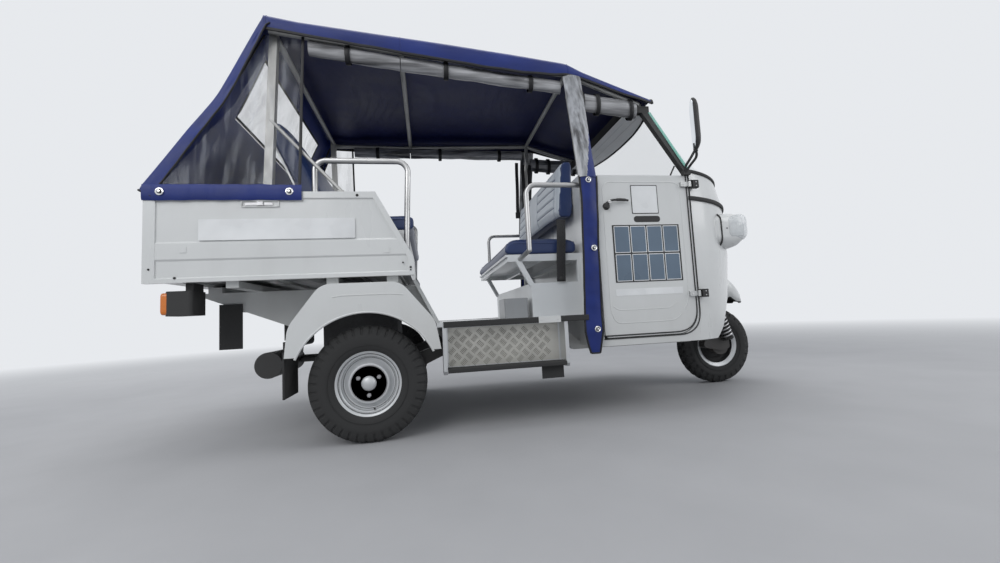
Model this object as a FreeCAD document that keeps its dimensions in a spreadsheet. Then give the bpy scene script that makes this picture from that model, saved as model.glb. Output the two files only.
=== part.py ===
import FreeCAD, Part
import math
import os

import Sketcher

# A three-wheeled passenger auto rickshaw with a half-door cab, an open platform with two
# benches, a pick-up bed and a soft top. Lengths are in millimetres. In the sheet, x runs
# forward from the rear axle, y to the left of the vehicle and z up from the ground. Every
# body is then moved back by half of the overall length, so the model's origin lies on the
# ground under the middle of the vehicle.

doc = FreeCAD.newDocument("AutoRickshaw")
sheet = doc.addObject("Spreadsheet::Sheet", "Dims")

# alias, value, what it is
SIZES = (
    ("wheel_base", 2215, "rear axle to front axle"),
    ("rear_tyre_radius", 258.5, "rear tyre, outside"),
    ("rear_tyre_width", 130, "rear tyre, across"),
    ("tyre_inset", 105, "middle of a rear tyre in from the outside of the fenders"),
    ("front_tyre_radius", 253.5, "front tyre, outside"),
    ("front_tyre_width", 116, "front tyre, across"),
    ("rim_seat_radius", 127, "bead seat of the ten-inch rims"),
    ("rim_flange_radius", 149, "outside of the rim flanges"),
    ("rim_width", 96, "rim across its flanges"),
    ("rim_wall", 5, "thickness of the rim's pressing"),
    ("stub_radius", 20, "stub axle that a wheel turns on"),
    ("stub_length", 46, "how far a stub axle goes into its wheel"),
    ("drum_radius", 98, "brake drum"),
    ("run_fit", 0.1, "radial clearance of a turning shaft"),
    ("seat_gap", 0.3, "clearance between pieces that only rest on each other"),
    ("box_rear", -865, "tail of the load box"),
    ("box_front_low", 217, "front end of the box side at its bottom"),
    ("box_front_top", 58, "front end of the box side at its top"),
    ("box_corner_height", 83, "upright part of the box side's front end"),
    ("box_half_width", 740, "middle of the vehicle to the outside of the box"),
    ("box_wall", 28, "thickness of a box side"),
    ("box_bottom", 733, "underside of the box sides"),
    ("box_top", 1115, "top of the box sides"),
    ("crease_low", 826, "lower pressed crease of a box side"),
    ("crease_high", 900, "upper pressed crease of a box side"),
    ("crease_depth", 6, "step of a crease"),
    ("rail_height", 30, "top rail of a box side"),
    ("floor_sheet", 12, "load floor sheet"),
    ("floor_rib", 12, "ribs below the load floor sheet"),
    ("gate_thickness", 28, "tailgate"),
    ("gate_play", 7, "gap round the tailgate"),
    ("hinge_out", 7, "tailgate hinge line behind the box"),
    ("fender_top", 706, "flat top of a rear fender"),
    ("fender_wall", 10, "thickness of the fender pressing"),
    ("fender_deep", 240, "width of a rear fender, from its outside in"),
    ("fender_rear", -332, "rear edge of a fender"),
    ("fender_front", 325, "front edge of a fender"),
    ("fender_foot", 396, "lower ends of a fender"),
    ("arch_radius", 318, "wheel opening of a fender"),
    ("fender_shoulder", 150, "upper corners of a fender, in from its ends"),
    ("flap_bottom", 225, "lower edge of the mud flaps"),
    ("flap_thickness", 8, "mud flap"),
    ("rail_inset", 50, "outer face of a chassis member in from the fenders"),
    ("rail_thick", 50, "width of a chassis member"),
    ("frame_arch", 600, "underside of the chassis over the rear axle"),
    ("frame_tail", 75, "rear end of the chassis ahead of the tail of the box"),
    ("frame_tail_low", 505, "lowest point of the chassis behind the fenders"),
    ("platform_top", 510, "passenger platform"),
    ("platform_sheet", 20, "platform thickness"),
    ("platform_rear", 310, "rear edge of the platform"),
    ("platform_inset", 50, "side of the platform in from the box side"),
    ("mat_sheet", 2, "mats on the platform and on the load floor"),
    ("frame_deep", 60, "chassis depth below the platform"),
    ("bulkhead_wall", 12, "sloped panel between bed and platform"),
    ("step_rear", 334, "rear end of a side step"),
    ("step_front", 939, "front end of a side step"),
    ("step_post", 18, "end plate of a side step"),
    ("step_low", 270, "lowest point of a side step"),
    ("step_deep", 100, "depth of a side step, out to in"),
    ("step_riser", 8, "riser and tread plate"),
    ("nosing", 15, "black edge strips"),
    ("cab_rear", 1085, "rear face of the cab"),
    ("cab_half_width", 670, "half width of the cab"),
    ("cab_wall", 26, "thickness of the cab's walls"),
    ("cab_bottom", 350, "lower edge of the cab"),
    ("cab_top", 1250, "top of the cab's body, at the windscreen base"),
    ("nose_side", 1660, "where the cab's sides turn into the round nose"),
    ("nose_low", 2150, "nose at its lowest section"),
    ("nose_mid_height", 820, "height of the nose's widest section"),
    ("nose_mid", 2205, "nose at its widest section"),
    ("nose_top", 2150, "nose at the windscreen base"),
    ("nose_under", 557, "underside of the nose over the front wheel"),
    ("arch_foot", 1810, "lower front edge of the cab"),
    ("arch_head", 1990, "where the cab's front edge meets the nose underside"),
    ("door_rear", 1137, "rear edge of a door"),
    ("door_front", 1648, "front edge of a door"),
    ("door_bottom", 391, "lower edge of a door"),
    ("door_top", 1223, "upper edge of a door"),
    ("door_thickness", 26, "thickness of a door"),
    ("door_play", 6, "gap round a door"),
    ("door_corner", 110, "lower front corner radius of a door"),
    ("door_hinge_out", 16, "door hinge line outside the cab"),
    ("cab_floor_top", 392, "cab floor"),
    ("cab_floor_sheet", 20, "cab floor thickness"),
    ("cab_member", 45, "depth of the chassis members under the cab"),
    ("glass", 6, "windscreen glass"),
    ("screen_top", 1662, "top of the windscreen glass"),
    ("screen_top_half", 482, "half width of the windscreen at its top"),
    ("screen_top_side", 1560, "windscreen's side ends at its top"),
    ("screen_bow", 80, "how far the windscreen bows forward at its top"),
    ("header_rear", 1430, "rear edge of the windscreen header"),
    ("header_height", 40, "windscreen header"),
    ("pillar", 40, "windscreen pillar"),
    ("steer_trail", 60, "steering line ahead of the contact point at the ground"),
    ("steer_lean", 0.364, "lean of the steering line, run over rise"),
    ("stem_radius", 22, "steering stem"),
    ("head_radius", 34, "steering head tube"),
    ("head_top", 980, "upper end of the steering head tube"),
    ("bar_height", 1085, "handlebar clamp"),
    ("leg_side", 112, "front leg from the middle"),
    ("leg_radius", 21, "front leg tube"),
    ("link_pivot_x", 2083, "front link pivot"),
    ("link_pivot_z", 271, "front link pivot height"),
    ("spring_low", 314, "lower spring seat on the link"),
    ("spring_top", 470, "upper spring seat under its bracket"),
    ("spring_top_x", 2200, "place of the upper spring seat"),
    ("canopy_rear", -420, "canopy peak at the rear bow"),
    ("canopy_mid", 185, "middle bow"),
    ("canopy_front", 1090, "front bow"),
    ("canopy_nose", 1600, "front edge of the canopy"),
    ("roof_rear_top", 1940, "roof height at the rear bow"),
    ("roof_mid_top", 1908, "roof height at the middle bow"),
    ("roof_front_top", 1895, "roof height at the front bow"),
    ("roof_nose_top", 1727, "roof height at its front edge"),
    ("roof_rear_half", 697, "roof half width at the rear bow"),
    ("roof_mid_half", 632, "roof half width at the middle bow"),
    ("roof_front_half", 535, "roof half width at the front bow"),
    ("roof_nose_half", 505, "roof half width at its front edge"),
    ("roof_sheet", 10, "thickness of the roof cover"),
    ("roof_corner", 55, "rounding of the roof's long edges"),
    ("valance", 135, "roof side from the top to the valance's lower edge"),
    ("hem_height", 1122, "lower edge of the sloped rear cover"),
    ("hem_out", 2, "sloped rear cover outside the box at its lower edge"),
    ("hem_back", 20, "rear cover's lower edge behind the box"),
    ("bow_radius", 14, "canopy tubes"),
    ("post", 35, "square rear posts"),
    ("curtain", 4, "clear curtain sheet"),
    ("hoop_radius", 13, "handrail tubes"),
    ("bench_cushion", 85, "rear bench cushion thickness"),
    ("bench_top", 1055, "rear bench cushion top"),
    ("bench_front", 234, "front edge of the rear bench cushion"),
    ("bench_rear", -220, "rear edge of the rear bench cushion"),
    ("bench_gap", 112, "rear bench to the inside of the box"),
    ("bench_back_top", 1520, "top of the rear backrest"),
    ("bench_back_lean", 150, "rearward lean of the rear backrest over its height"),
    ("back_thick", 95, "thickness of the rear backrest"),
    ("jump_front", 1080, "front edge of the rear-facing bench"),
    ("jump_rear", 662, "rear edge of the rear-facing bench"),
    ("jump_top", 930, "rear-facing bench cushion top"),
    ("jump_cushion", 90, "rear-facing bench cushion thickness"),
    ("jump_half", 565, "half width of the rear-facing bench"),
    ("jump_box_top", 688, "top of the box under the rear-facing bench"),
    ("jump_tube", 25, "square tubes that carry the rear-facing bench"),
    ("jump_back_low", 1032, "lower edge of the rear-facing backrest"),
    ("jump_back_top", 1370, "top of the rear-facing backrest"),
    ("jump_back_thick", 72, "thickness of the rear-facing backrest at its top"),
    ("jump_back_half", 520, "half width of the rear-facing backrest"),
    ("lamp_rear", 67, "rear lamp housing ahead of the tail of the box"),
    ("lamp_long", 108, "length of a rear lamp housing"),
    ("lamp_low", 598, "lower edge of the rear lamps"),
    ("lamp_high", 700, "upper edge of the rear lamps"),
    ("lamp_wide", 120, "width of a rear lamp"),
    ("lamp_inset", 20, "rear lamps in from the outside of the box"),
    ("strip_rear", 1053, "rear edge of the side strips by the front legs"),
    ("strip_front", 1127, "front edge of the side strips"),
    ("strip_low", 318, "lower end of the side strips"),
    ("strip_seam", 1208, "seam between the cloth and the clear part of the side strips"),
)

for row, (alias, value, note) in enumerate(SIZES, 1):
    sheet.set("A%d" % row, str(value))
    sheet.setAlias("A%d" % row, alias)
    sheet.set("B%d" % row, note)
doc.recompute()


class Size:
    """A length that carries both its value and the sheet expression it comes from."""

    def __init__(self, value, text):
        self.value = value
        self.text = text

    def __add__(self, other):
        other = size(other)
        return Size(self.value + other.value, "(%s + %s)" % (self.text, other.text))

    def __radd__(self, other):
        return size(other) + self

    def __sub__(self, other):
        other = size(other)
        return Size(self.value - other.value, "(%s - %s)" % (self.text, other.text))

    def __rsub__(self, other):
        return size(other) - self

    def __mul__(self, other):
        other = size(other)
        return Size(self.value * other.value, "(%s * %s)" % (self.text, other.text))

    def __rmul__(self, other):
        return size(other) * self

    def __truediv__(self, other):
        other = size(other)
        return Size(self.value / other.value, "(%s / %s)" % (self.text, other.text))

    def __neg__(self):
        return Size(-self.value, "(0 - %s)" % self.text)


def size(value):
    """Any number or Size as a Size."""
    return value if isinstance(value, Size) else Size(float(value), "(%r)" % float(value))


def root(value):
    """Square root of a Size."""
    return Size(math.sqrt(value.value), "sqrt(%s)" % value.text)


class Names:
    """The sheet's cells by name, as Sizes."""

    def __getattr__(self, alias):
        return Size(float(getattr(sheet, alias)), "Dims.%s" % alias)


S = Names()
MIDDLE = (S.wheel_base + S.front_tyre_radius + S.box_rear - S.hem_back) / 2
REAR_TRACK_HALF = S.box_half_width - S.tyre_inset
FENDER_INNER = S.box_half_width - S.fender_deep
RAIL_OUT = FENDER_INNER - S.rail_inset
PLATFORM_HALF = S.box_half_width - S.platform_inset
BENCH_HALF = S.box_half_width - S.box_wall - S.bench_gap
HEM_HALF = S.box_half_width + S.hem_out
SCREEN_TOP_NOSE = S.screen_top_side + S.screen_bow
VECTOR = FreeCAD.Vector
PARTS = {}


def keep(label, item):
    """Name a finished sub-part for export."""
    item.Label = label
    PARTS[label] = item
    return item


def new_body(name, move=(0, 0, 0)):
    """An empty body, moved so that the origin is under the middle of the vehicle."""
    body = doc.addObject("PartDesign::Body", name)
    body.setExpression("Placement.Base.x", (size(move[0]) - MIDDLE).text)
    for axis, value in (("y", move[1]), ("z", move[2])):
        body.setExpression("Placement.Base.%s" % axis, size(value).text)
    return body


def new_sketch(body, plane, level=0):
    """A sketch on one of the body's origin planes, at a level along the world axis."""
    sketch = body.newObject("Sketcher::SketchObject", body.Name + "_" + plane.lower())
    base = [item for item in body.Origin.OriginFeatures if item.Role == plane + "_Plane"][0]
    sketch.AttachmentSupport = [(base, "")]
    sketch.MapMode = "FlatFace"
    away = -size(level) if plane == "XZ" else size(level)
    sketch.AttachmentOffset = FreeCAD.Placement(VECTOR(0, 0, away.value), FreeCAD.Rotation())
    sketch.setExpression("AttachmentOffset.Base.z", away.text)
    return sketch


def pin(sketch, index, end, point):
    """Fix one end of a sketch line or point at a pair of Sizes."""
    for kind, part in (("DistanceX", point[0]), ("DistanceY", point[1])):
        rule = Sketcher.Constraint(kind, -1, 1, index, end, part.value)
        number = sketch.addConstraint(rule)
        sketch.setExpression("Constraints[%d]" % number, part.text)


def vec(point):
    return VECTOR(point[0].value, point[1].value, 0)


def corner_ends(before, corner, after, radius):
    """Where an arc of the radius touches the two lines that meet at a corner."""
    back = [before[i] - corner[i] for i in (0, 1)]
    ahead = [after[i] - corner[i] for i in (0, 1)]
    back_long = root(back[0] * back[0] + back[1] * back[1])
    ahead_long = root(ahead[0] * ahead[0] + ahead[1] * ahead[1])
    dot = back[0] * ahead[0] + back[1] * ahead[1]
    cross = back[0] * ahead[1] - back[1] * ahead[0]
    if cross.value < 0:
        cross = -cross
    reach = radius * (back_long * ahead_long + dot) / cross
    first = [corner[i] + back[i] * reach / back_long for i in (0, 1)]
    last = [corner[i] + ahead[i] * reach / ahead_long for i in (0, 1)]
    return first, last


def add_arc(sketch, first, middle, last):
    """Add an arc; returns its index and the numbers of its ends at the first and last point."""
    turn = (middle - first).cross(last - first).z
    if turn > 0:
        return sketch.addGeometry(Part.Arc(first, middle, last), False), (1, 2)
    return sketch.addGeometry(Part.Arc(last, middle, first), False), (2, 1)


def draw(sketch, corners, closed=True):
    """Draw an outline whose corners are (u, v), (u, v, radius) or ("via", u, v) on an arc."""
    points = []
    for corner in corners:
        if corner[0] == "via":
            points.append(("via", (size(corner[1]), size(corner[2]))))
        else:
            radius = size(corner[2]) if len(corner) > 2 else None
            points.append(("at", (size(corner[0]), size(corner[1])), radius))
    count = len(points)
    ends = []
    for i, point in enumerate(points):
        inner = closed or 0 < i < count - 1
        if point[0] == "at" and point[2] is not None and inner:
            pair = corner_ends(points[i - 1][1], point[1], points[(i + 1) % count][1], point[2])
            ends.append(pair)
        else:
            ends.append((point[1], point[1]))
    rounds = []
    pieces = []
    for i in range(count if closed else count - 1):
        after = (i + 1) % count
        if points[i][0] == "via":
            continue
        if points[after][0] == "via":
            far = (after + 1) % count
            first, middle, last = vec(ends[i][1]), vec(points[after][1]), vec(ends[far][0])
            index, order = add_arc(sketch, first, middle, last)
            for end, spot in zip(order, (ends[i][1], ends[far][0])):
                pin(sketch, index, end, spot)
            spot = sketch.addGeometry(Part.Point(middle), True)
            pin(sketch, spot, 1, points[after][1])
            sketch.addConstraint(Sketcher.Constraint("PointOnObject", spot, 1, index))
            pieces.append((index, order))
        else:
            line = Part.LineSegment(vec(ends[i][1]), vec(ends[after][0]))
            index = sketch.addGeometry(line, False)
            pin(sketch, index, 1, ends[i][1])
            pin(sketch, index, 2, ends[after][0])
            pieces.append((index, (1, 2)))
        rounds.append(after)
    for number, (index, order) in enumerate(pieces):
        spot = rounds[number]
        if points[spot][0] == "via":
            spot = (spot + 1) % count
        following = pieces[(number + 1) % len(pieces)]
        if not closed and number == len(pieces) - 1:
            break
        radius = points[spot][2]
        if radius is None:
            continue
        first, last = vec(ends[spot][0]), vec(ends[spot][1])
        corner = vec(points[spot][1])
        chord = (first + last) * 0.5
        inward = chord - corner
        half = (last - first).Length / 2
        centre_far = math.sqrt(max(radius.value ** 2 - half ** 2, 0))
        centre = chord + inward.normalize() * centre_far
        middle = centre + (corner - centre).normalize() * radius.value
        arc, ends_at = add_arc(sketch, first, middle, last)
        sketch.addConstraint(Sketcher.Constraint("Coincident", index, order[1], arc, ends_at[0]))
        after_index, after_order = following
        sketch.addConstraint(
            Sketcher.Constraint("Coincident", arc, ends_at[1], after_index, after_order[0])
        )
        rule = sketch.addConstraint(Sketcher.Constraint("Radius", arc, radius.value))
        sketch.setExpression("Constraints[%d]" % rule, radius.text)
    return sketch


def draw_circle(sketch, u, v, radius):
    """Draw a circle at a pair of Sizes."""
    u, v, radius = size(u), size(v), size(radius)
    circle = Part.Circle(VECTOR(u.value, v.value, 0), VECTOR(0, 0, 1), radius.value)
    index = sketch.addGeometry(circle, False)
    pin(sketch, index, 3, (u, v))
    rule = sketch.addConstraint(Sketcher.Constraint("Radius", index, radius.value))
    sketch.setExpression("Constraints[%d]" % rule, radius.text)
    return sketch


def add_pad(body, plane, corners, low, high):
    """Pad an outline between two levels of the axis across its plane."""
    low, high = size(low), size(high)
    sketch = draw(new_sketch(body, plane, high if plane == "XZ" else low), corners)
    feature = body.newObject("PartDesign::Pad", body.Name + "_pad")
    feature.Profile = sketch
    feature.Length = (high - low).value
    feature.setExpression("Length", (high - low).text)
    return body


def add_pocket(body, plane, corners, low, high):
    """Cut an outline out of the body between two levels."""
    low, high = size(low), size(high)
    sketch = draw(new_sketch(body, plane, low if plane == "XZ" else high), corners)
    return finish_pocket(body, sketch, high - low)


def add_hole(body, plane, circles, low, high):
    """Cut round holes out of the body between two levels."""
    low, high = size(low), size(high)
    sketch = new_sketch(body, plane, low if plane == "XZ" else high)
    for u, v, radius in circles:
        draw_circle(sketch, u, v, radius)
    return finish_pocket(body, sketch, high - low)


def finish_pocket(body, sketch, depth):
    feature = body.newObject("PartDesign::Pocket", body.Name + "_pocket")
    feature.Profile = sketch
    feature.Length = depth.value
    feature.setExpression("Length", depth.text)
    return body


def slab(name, plane, corners, low, high, move=(0, 0, 0)):
    """A body with one pad."""
    return add_pad(new_body(name, move), plane, corners, low, high)


def block(name, low, high):
    """A body with one rectangular pad between two corners."""
    corners = [(low[0], low[1]), (high[0], low[1]), (high[0], high[1]), (low[0], high[1])]
    return slab(name, "XY", corners, low[2], high[2])


def rod(name, plane, u, v, radius, low, high):
    """A round bar across a plane."""
    body = new_body(name)
    low, high = size(low), size(high)
    sketch = new_sketch(body, plane, high if plane == "XZ" else low)
    draw_circle(sketch, u, v, radius)
    feature = body.newObject("PartDesign::Pad", name + "_pad")
    feature.Profile = sketch
    feature.Length = (high - low).value
    feature.setExpression("Length", (high - low).text)
    return body


def ruled(name, plane, sections):
    """A straight-sided loft through closed outlines, each (level, corners)."""
    body = new_body(name)
    sketches = [draw(new_sketch(body, plane, level), corners) for level, corners in sections]
    return finish_loft(body, sketches)


def strut(name, first, last, radius):
    """A slanting round bar between two points, with its ends square to it."""
    first = [size(value) for value in first]
    last = [size(value) for value in last]
    run = [last[i] - first[i] for i in range(3)]
    flat = root(run[0] * run[0] + run[1] * run[1])
    bar = doc.addObject("Part::Cylinder", name)
    bar.setExpression("Radius", size(radius).text)
    bar.setExpression("Height", root(flat * flat + run[2] * run[2]).text)
    bar.setExpression("Placement.Base.x", (first[0] - MIDDLE).text)
    bar.setExpression("Placement.Base.y", first[1].text)
    bar.setExpression("Placement.Base.z", first[2].text)
    bar.setExpression("Placement.Rotation.Axis.x", (-run[1]).text)
    bar.setExpression("Placement.Rotation.Axis.y", run[0].text)
    bar.setExpression("Placement.Rotation.Axis.z", "0")
    bar.setExpression("Placement.Rotation.Angle", "atan2(%s; %s)" % (flat.text, run[2].text))
    return bar


def level_strut(name, plane, first, last):
    """A slanting round bar with level ends, each (level, u, v, radius)."""
    body = new_body(name)
    sketches = []
    for level, u, v, radius in (first, last):
        sketches.append(draw_circle(new_sketch(body, plane, level), u, v, radius))
    return finish_loft(body, sketches)


def ball(name, place, radius):
    """A round joint between two tubes."""
    item = doc.addObject("Part::Sphere", name)
    item.setExpression("Radius", size(radius).text)
    item.setExpression("Placement.Base.x", (size(place[0]) - MIDDLE).text)
    item.setExpression("Placement.Base.y", size(place[1]).text)
    item.setExpression("Placement.Base.z", size(place[2]).text)
    return item


def finish_loft(body, sketches):
    feature = body.newObject("PartDesign::AdditiveLoft", body.Name + "_loft")
    feature.Profile = sketches[0]
    feature.Sections = sketches[1:]
    feature.Ruled = True
    return body


def turned(name, corners, move, plane="YZ", axis="H_Axis"):
    """A body turned from half of its outline about a sketch axis."""
    body = new_body(name, move)
    sketch = draw(new_sketch(body, plane), corners)
    feature = body.newObject("PartDesign::Revolution", name + "_turn")
    feature.Profile = sketch
    feature.ReferenceAxis = (sketch, [axis])
    feature.Angle = 360
    return body


def pipe(name, plane, level, corners, radius, start_plane):
    """A bent tube along a flat path that starts square to another plane."""
    body = new_body(name)
    path = draw(new_sketch(body, plane, level), corners, closed=False)
    u, v = size(corners[0][0]), size(corners[0][1])
    level = size(level)
    spots = {
        ("XZ", "XY"): (v, u, level), ("XZ", "YZ"): (u, level, v),
        ("YZ", "XY"): (v, level, u), ("YZ", "XZ"): (u, level, v),
        ("XY", "YZ"): (u, v, level), ("XY", "XZ"): (v, u, level),
    }
    start, first, second = spots[(plane, start_plane)]
    profile = draw_circle(new_sketch(body, start_plane, start), first, second, radius)
    feature = body.newObject("PartDesign::AdditivePipe", name + "_pipe")
    feature.Profile = profile
    feature.Spine = path
    return body


def mirror(item, name):
    """The same piece on the other side of the vehicle."""
    twin = doc.addObject("Part::Mirroring", name)
    twin.Source = item
    twin.Normal = (0, 1, 0)
    return twin


def fuse(name, items):
    """Pieces joined into one solid."""
    joined = doc.addObject("Part::MultiFuse", name)
    joined.Shapes = items
    return joined


def cut(name, base, tools):
    """A piece with others cut out of it."""
    result = doc.addObject("Part::Cut", name)
    result.Base = base
    result.Tool = tools[0] if len(tools) == 1 else fuse(name + "_tools", tools)
    return result


def common(name, first, second):
    """What two pieces share."""
    result = doc.addObject("Part::Common", name)
    result.Base = first
    result.Tool = second
    return result


def group(name, items):
    """Separate pieces kept in one sub-part."""
    result = doc.addObject("Part::Compound", name)
    result.Links = items
    return result


def both(label, item):
    """Keep a right-hand piece and its mirror image as one sub-part."""
    return keep(label, group(label, [item, mirror(item, label + "_twin")]))


def rectangle(u_low, v_low, u_high, v_high, radius=None):
    """Corners of a rectangle, rounded if a radius is given."""
    spots = [(u_low, v_low), (u_high, v_low), (u_high, v_high), (u_low, v_high)]
    return [spot if radius is None else spot + (radius,) for spot in spots]


def make_chassis():
    """Two deep side members, cross members, outriggers and the rear hitch beam."""
    deep = S.platform_top - S.platform_sheet
    low = deep - S.frame_deep
    cab_floor_low = S.cab_floor_top - S.cab_floor_sheet
    tail = S.box_rear + S.frame_tail
    outline = [
        (tail, S.fender_top),
        (tail, S.fender_top - 14),
        (S.fender_rear, S.frame_tail_low),
        (S.fender_rear + 80, S.frame_arch, 30),
        (S.box_front_low - 50, S.frame_arch, 60),
        (S.platform_rear + 30, low, 40),
        (S.cab_rear - 160, low),
        (S.cab_rear - 40, cab_floor_low - S.cab_member),
        (S.arch_foot - 60, cab_floor_low - S.cab_member),
        (S.arch_foot - 60, cab_floor_low),
        (S.cab_rear - 10, cab_floor_low),
        (S.cab_rear - 130, deep),
        (S.platform_rear - 1, deep),
        (S.platform_rear - 1, S.platform_top),
        (S.box_front_low - 4, S.fender_top),
    ]
    inner = RAIL_OUT - S.rail_thick
    member = slab("side_member", "XZ", outline, -RAIL_OUT, -inner)
    twin = mirror(member, "side_member_twin")
    pieces = [member, twin]
    for number, (x, width, bottom, half) in enumerate((
        (S.box_rear + 110, 60, S.box_bottom - 30, RAIL_OUT),
        (S.box_rear + 300, 50, S.fender_top, S.box_half_width - S.box_wall),
        (S.fender_rear + 170, 50, S.fender_top, S.box_half_width - S.box_wall),
        (S.fender_front - 230, 50, S.fender_top, S.box_half_width - S.box_wall),
    )):
        pieces.append(block("cross_%d" % number, (x, -half, bottom), (x + width, half, S.box_bottom)))
    for number, x in enumerate((-290, 60)):
        pieces.append(block(
            "engine_beam_%d" % number, (x, -inner, S.frame_arch), (x + 50, inner, S.frame_arch + 40)
        ))
    beam_half = PLATFORM_HALF - 2 - S.step_deep - S.seat_gap
    for number, x in enumerate((S.platform_rear + 50, S.step_front - 60)):
        pieces.append(block(
            "platform_beam_%d" % number, (x, -beam_half, deep - 30), (x + 50, beam_half, deep)
        ))
    bracket = slab("arm_bracket", "XZ", [
        (395, low + 5), (395, low - 45, 20), (465, low - 45, 20), (465, low + 5)
    ], -RAIL_OUT, -inner)
    pieces += [bracket, mirror(bracket, "arm_bracket_twin")]
    hitch = slab("hitch_beam", "YZ", rectangle(-160, S.box_bottom - 110, 160, S.box_bottom - 30),
                 S.box_rear + 110, S.box_rear + 122)
    holes = [(y, z, 6.5) for y in (-60, 60) for z in (S.box_bottom - 92, S.box_bottom - 52)]
    add_hole(hitch, "YZ", holes, S.box_rear + 110, S.box_rear + 122)
    pieces.append(hitch)
    keep("chassis_frame", fuse("chassis_frame", pieces))


def make_load_floor():
    """Floor sheet with cross ribs below it."""
    top = S.box_bottom + S.floor_rib + S.floor_sheet
    inner = S.box_half_width - S.box_wall
    rear = S.box_rear + S.gate_thickness + S.gate_play + 6
    front = S.box_front_low - 20
    body = block("load_floor", (rear, -inner, S.box_bottom + S.floor_rib), (front, inner, top))
    for step in range(6):
        x = rear + 40 + step * (front - rear - 130) / 5
        add_pad(body, "XY", rectangle(x, -inner, x + 50, inner), S.box_bottom,
                S.box_bottom + S.floor_rib)
    add_pad(body, "XY", rectangle(rear + 12, -inner + 22, S.bench_rear - 46, inner - 22), top,
            top + S.mat_sheet)
    keep("load_floor", body)


def make_box_sides():
    """Pressed side panels with two creases, a top rail and a rear corner post."""
    outer = -S.box_half_width
    inner = outer + S.box_wall
    face = outer + S.crease_depth
    section = [
        (inner, S.box_bottom), (outer, S.box_bottom), (outer, S.box_bottom + 16),
        (face, S.box_bottom + 22), (face, S.crease_low - 4), (outer + 1, S.crease_low + 4),
        (outer + 1, S.crease_high - 4), (face, S.crease_high + 4),
        (face, S.box_top - S.rail_height - 4), (outer, S.box_top - S.rail_height + 2),
        (outer, S.box_top), (inner, S.box_top),
    ]
    pressed = slab("side_pressing", "YZ", section, S.box_rear, S.box_front_low)
    shape = slab("side_shape", "XZ", [
        (S.box_rear, S.box_bottom), (S.box_front_low, S.box_bottom),
        (S.box_front_low, S.box_bottom + S.box_corner_height, 30),
        (S.box_front_top, S.box_top, 12), (S.box_rear, S.box_top),
    ], outer, inner)
    post = block("corner_post", (S.box_rear, outer, S.box_bottom), (S.box_rear + 45, inner, S.box_top))
    lip = slab("front_lip", "XZ", [
        (S.box_front_low - 24, S.box_bottom), (S.box_front_low, S.box_bottom),
        (S.box_front_low, S.box_bottom + S.box_corner_height, 30),
        (S.box_front_top, S.box_top), (S.box_front_top - 26, S.box_top),
        (S.box_front_low - 24, S.box_bottom + S.box_corner_height - 6, 20),
    ], outer, inner)
    right = fuse("side_right", [common("side_trim", pressed, shape), post, lip])
    keep("box_side_right", right)
    keep("box_side_left", mirror(right, "side_left"))


def make_tailgate():
    """Drop-down tailgate between the corner posts, hinged at its lower outer edge."""
    half = S.box_half_width - S.box_wall - S.gate_play
    low = S.box_bottom + S.gate_play + 5
    high = S.box_top - S.gate_play
    front = S.box_rear + S.gate_thickness
    body = slab("tailgate", "YZ", rectangle(-half, low, half, high, 10), S.box_rear + 6, front)
    for bottom, top in ((low + 30, S.crease_low - 14), (S.crease_high + 14, high - 40)):
        add_pad(body, "YZ", rectangle(-half + 40, bottom, half - 40, top, 12), S.box_rear, S.box_rear + 6)
    keep("tailgate", body)


def make_fenders():
    """White arches over the rear wheels, open inside and below."""
    outer = -S.box_half_width
    wall = S.fender_wall
    shape = [
        (S.fender_rear, S.fender_foot), (S.fender_rear + 14, S.fender_foot + 130, 120),
        (S.fender_rear + S.fender_shoulder, S.fender_top, 90),
        (S.fender_front - S.fender_shoulder - 20, S.fender_top, 90),
        (S.fender_front - 22, S.fender_foot + 130, 120), (S.fender_front, S.fender_foot),
    ]
    body = slab("fender", "XZ", shape, outer, -FENDER_INNER)
    inside = [
        (S.fender_rear + wall, S.fender_foot), (S.fender_rear + wall + 14, S.fender_foot + 128, 110),
        (S.fender_rear + S.fender_shoulder + 4, S.fender_top - wall, 84),
        (S.fender_front - S.fender_shoulder - 24, S.fender_top - wall, 84),
        (S.fender_front - wall - 22, S.fender_foot + 128, 110), (S.fender_front - wall, S.fender_foot),
    ]
    add_pocket(body, "XZ", inside, outer + wall, -FENDER_INNER)
    add_hole(body, "XZ", [(0, S.rear_tyre_radius, S.arch_radius)], outer, outer + wall)
    both("rear_fenders", body)


def make_mud_flaps():
    """Hanging rubber flaps behind the rear wheels."""
    outer = -S.box_half_width + 6
    flap = block("flap", (S.fender_rear - S.flap_thickness, outer, S.flap_bottom),
                 (S.fender_rear, outer + 190, S.fender_foot + 26))
    step_outer = -PLATFORM_HALF + 22
    step_flap = block("step_flap", (S.step_front - 136, step_outer, S.flap_bottom - 8),
                      (S.step_front - 10 - S.step_post, step_outer + S.flap_thickness,
                       S.step_low + 16 - S.seat_gap))
    frame_outer = -RAIL_OUT - S.seat_gap - S.flap_thickness
    tail_flap = block("tail_flap", (S.fender_rear - 372, frame_outer, 436),
                      (S.fender_rear - 272, frame_outer + S.flap_thickness, 650))
    both("mud_flaps", group("flap_set", [flap, step_flap, tail_flap]))


def make_bulkhead():
    """Sloped panel that joins the bed to the platform."""
    top = S.box_bottom
    low = S.platform_top
    wall = S.bulkhead_wall
    body = slab("bulkhead", "XZ", [
        (S.box_front_low - 16, top), (S.platform_rear, low), (S.platform_rear + wall + 8, low),
        (S.box_front_low - 16 + wall + 6, top),
    ], -FENDER_INNER + S.seat_gap, FENDER_INNER - S.seat_gap)
    keep("bulkhead", body)


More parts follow.
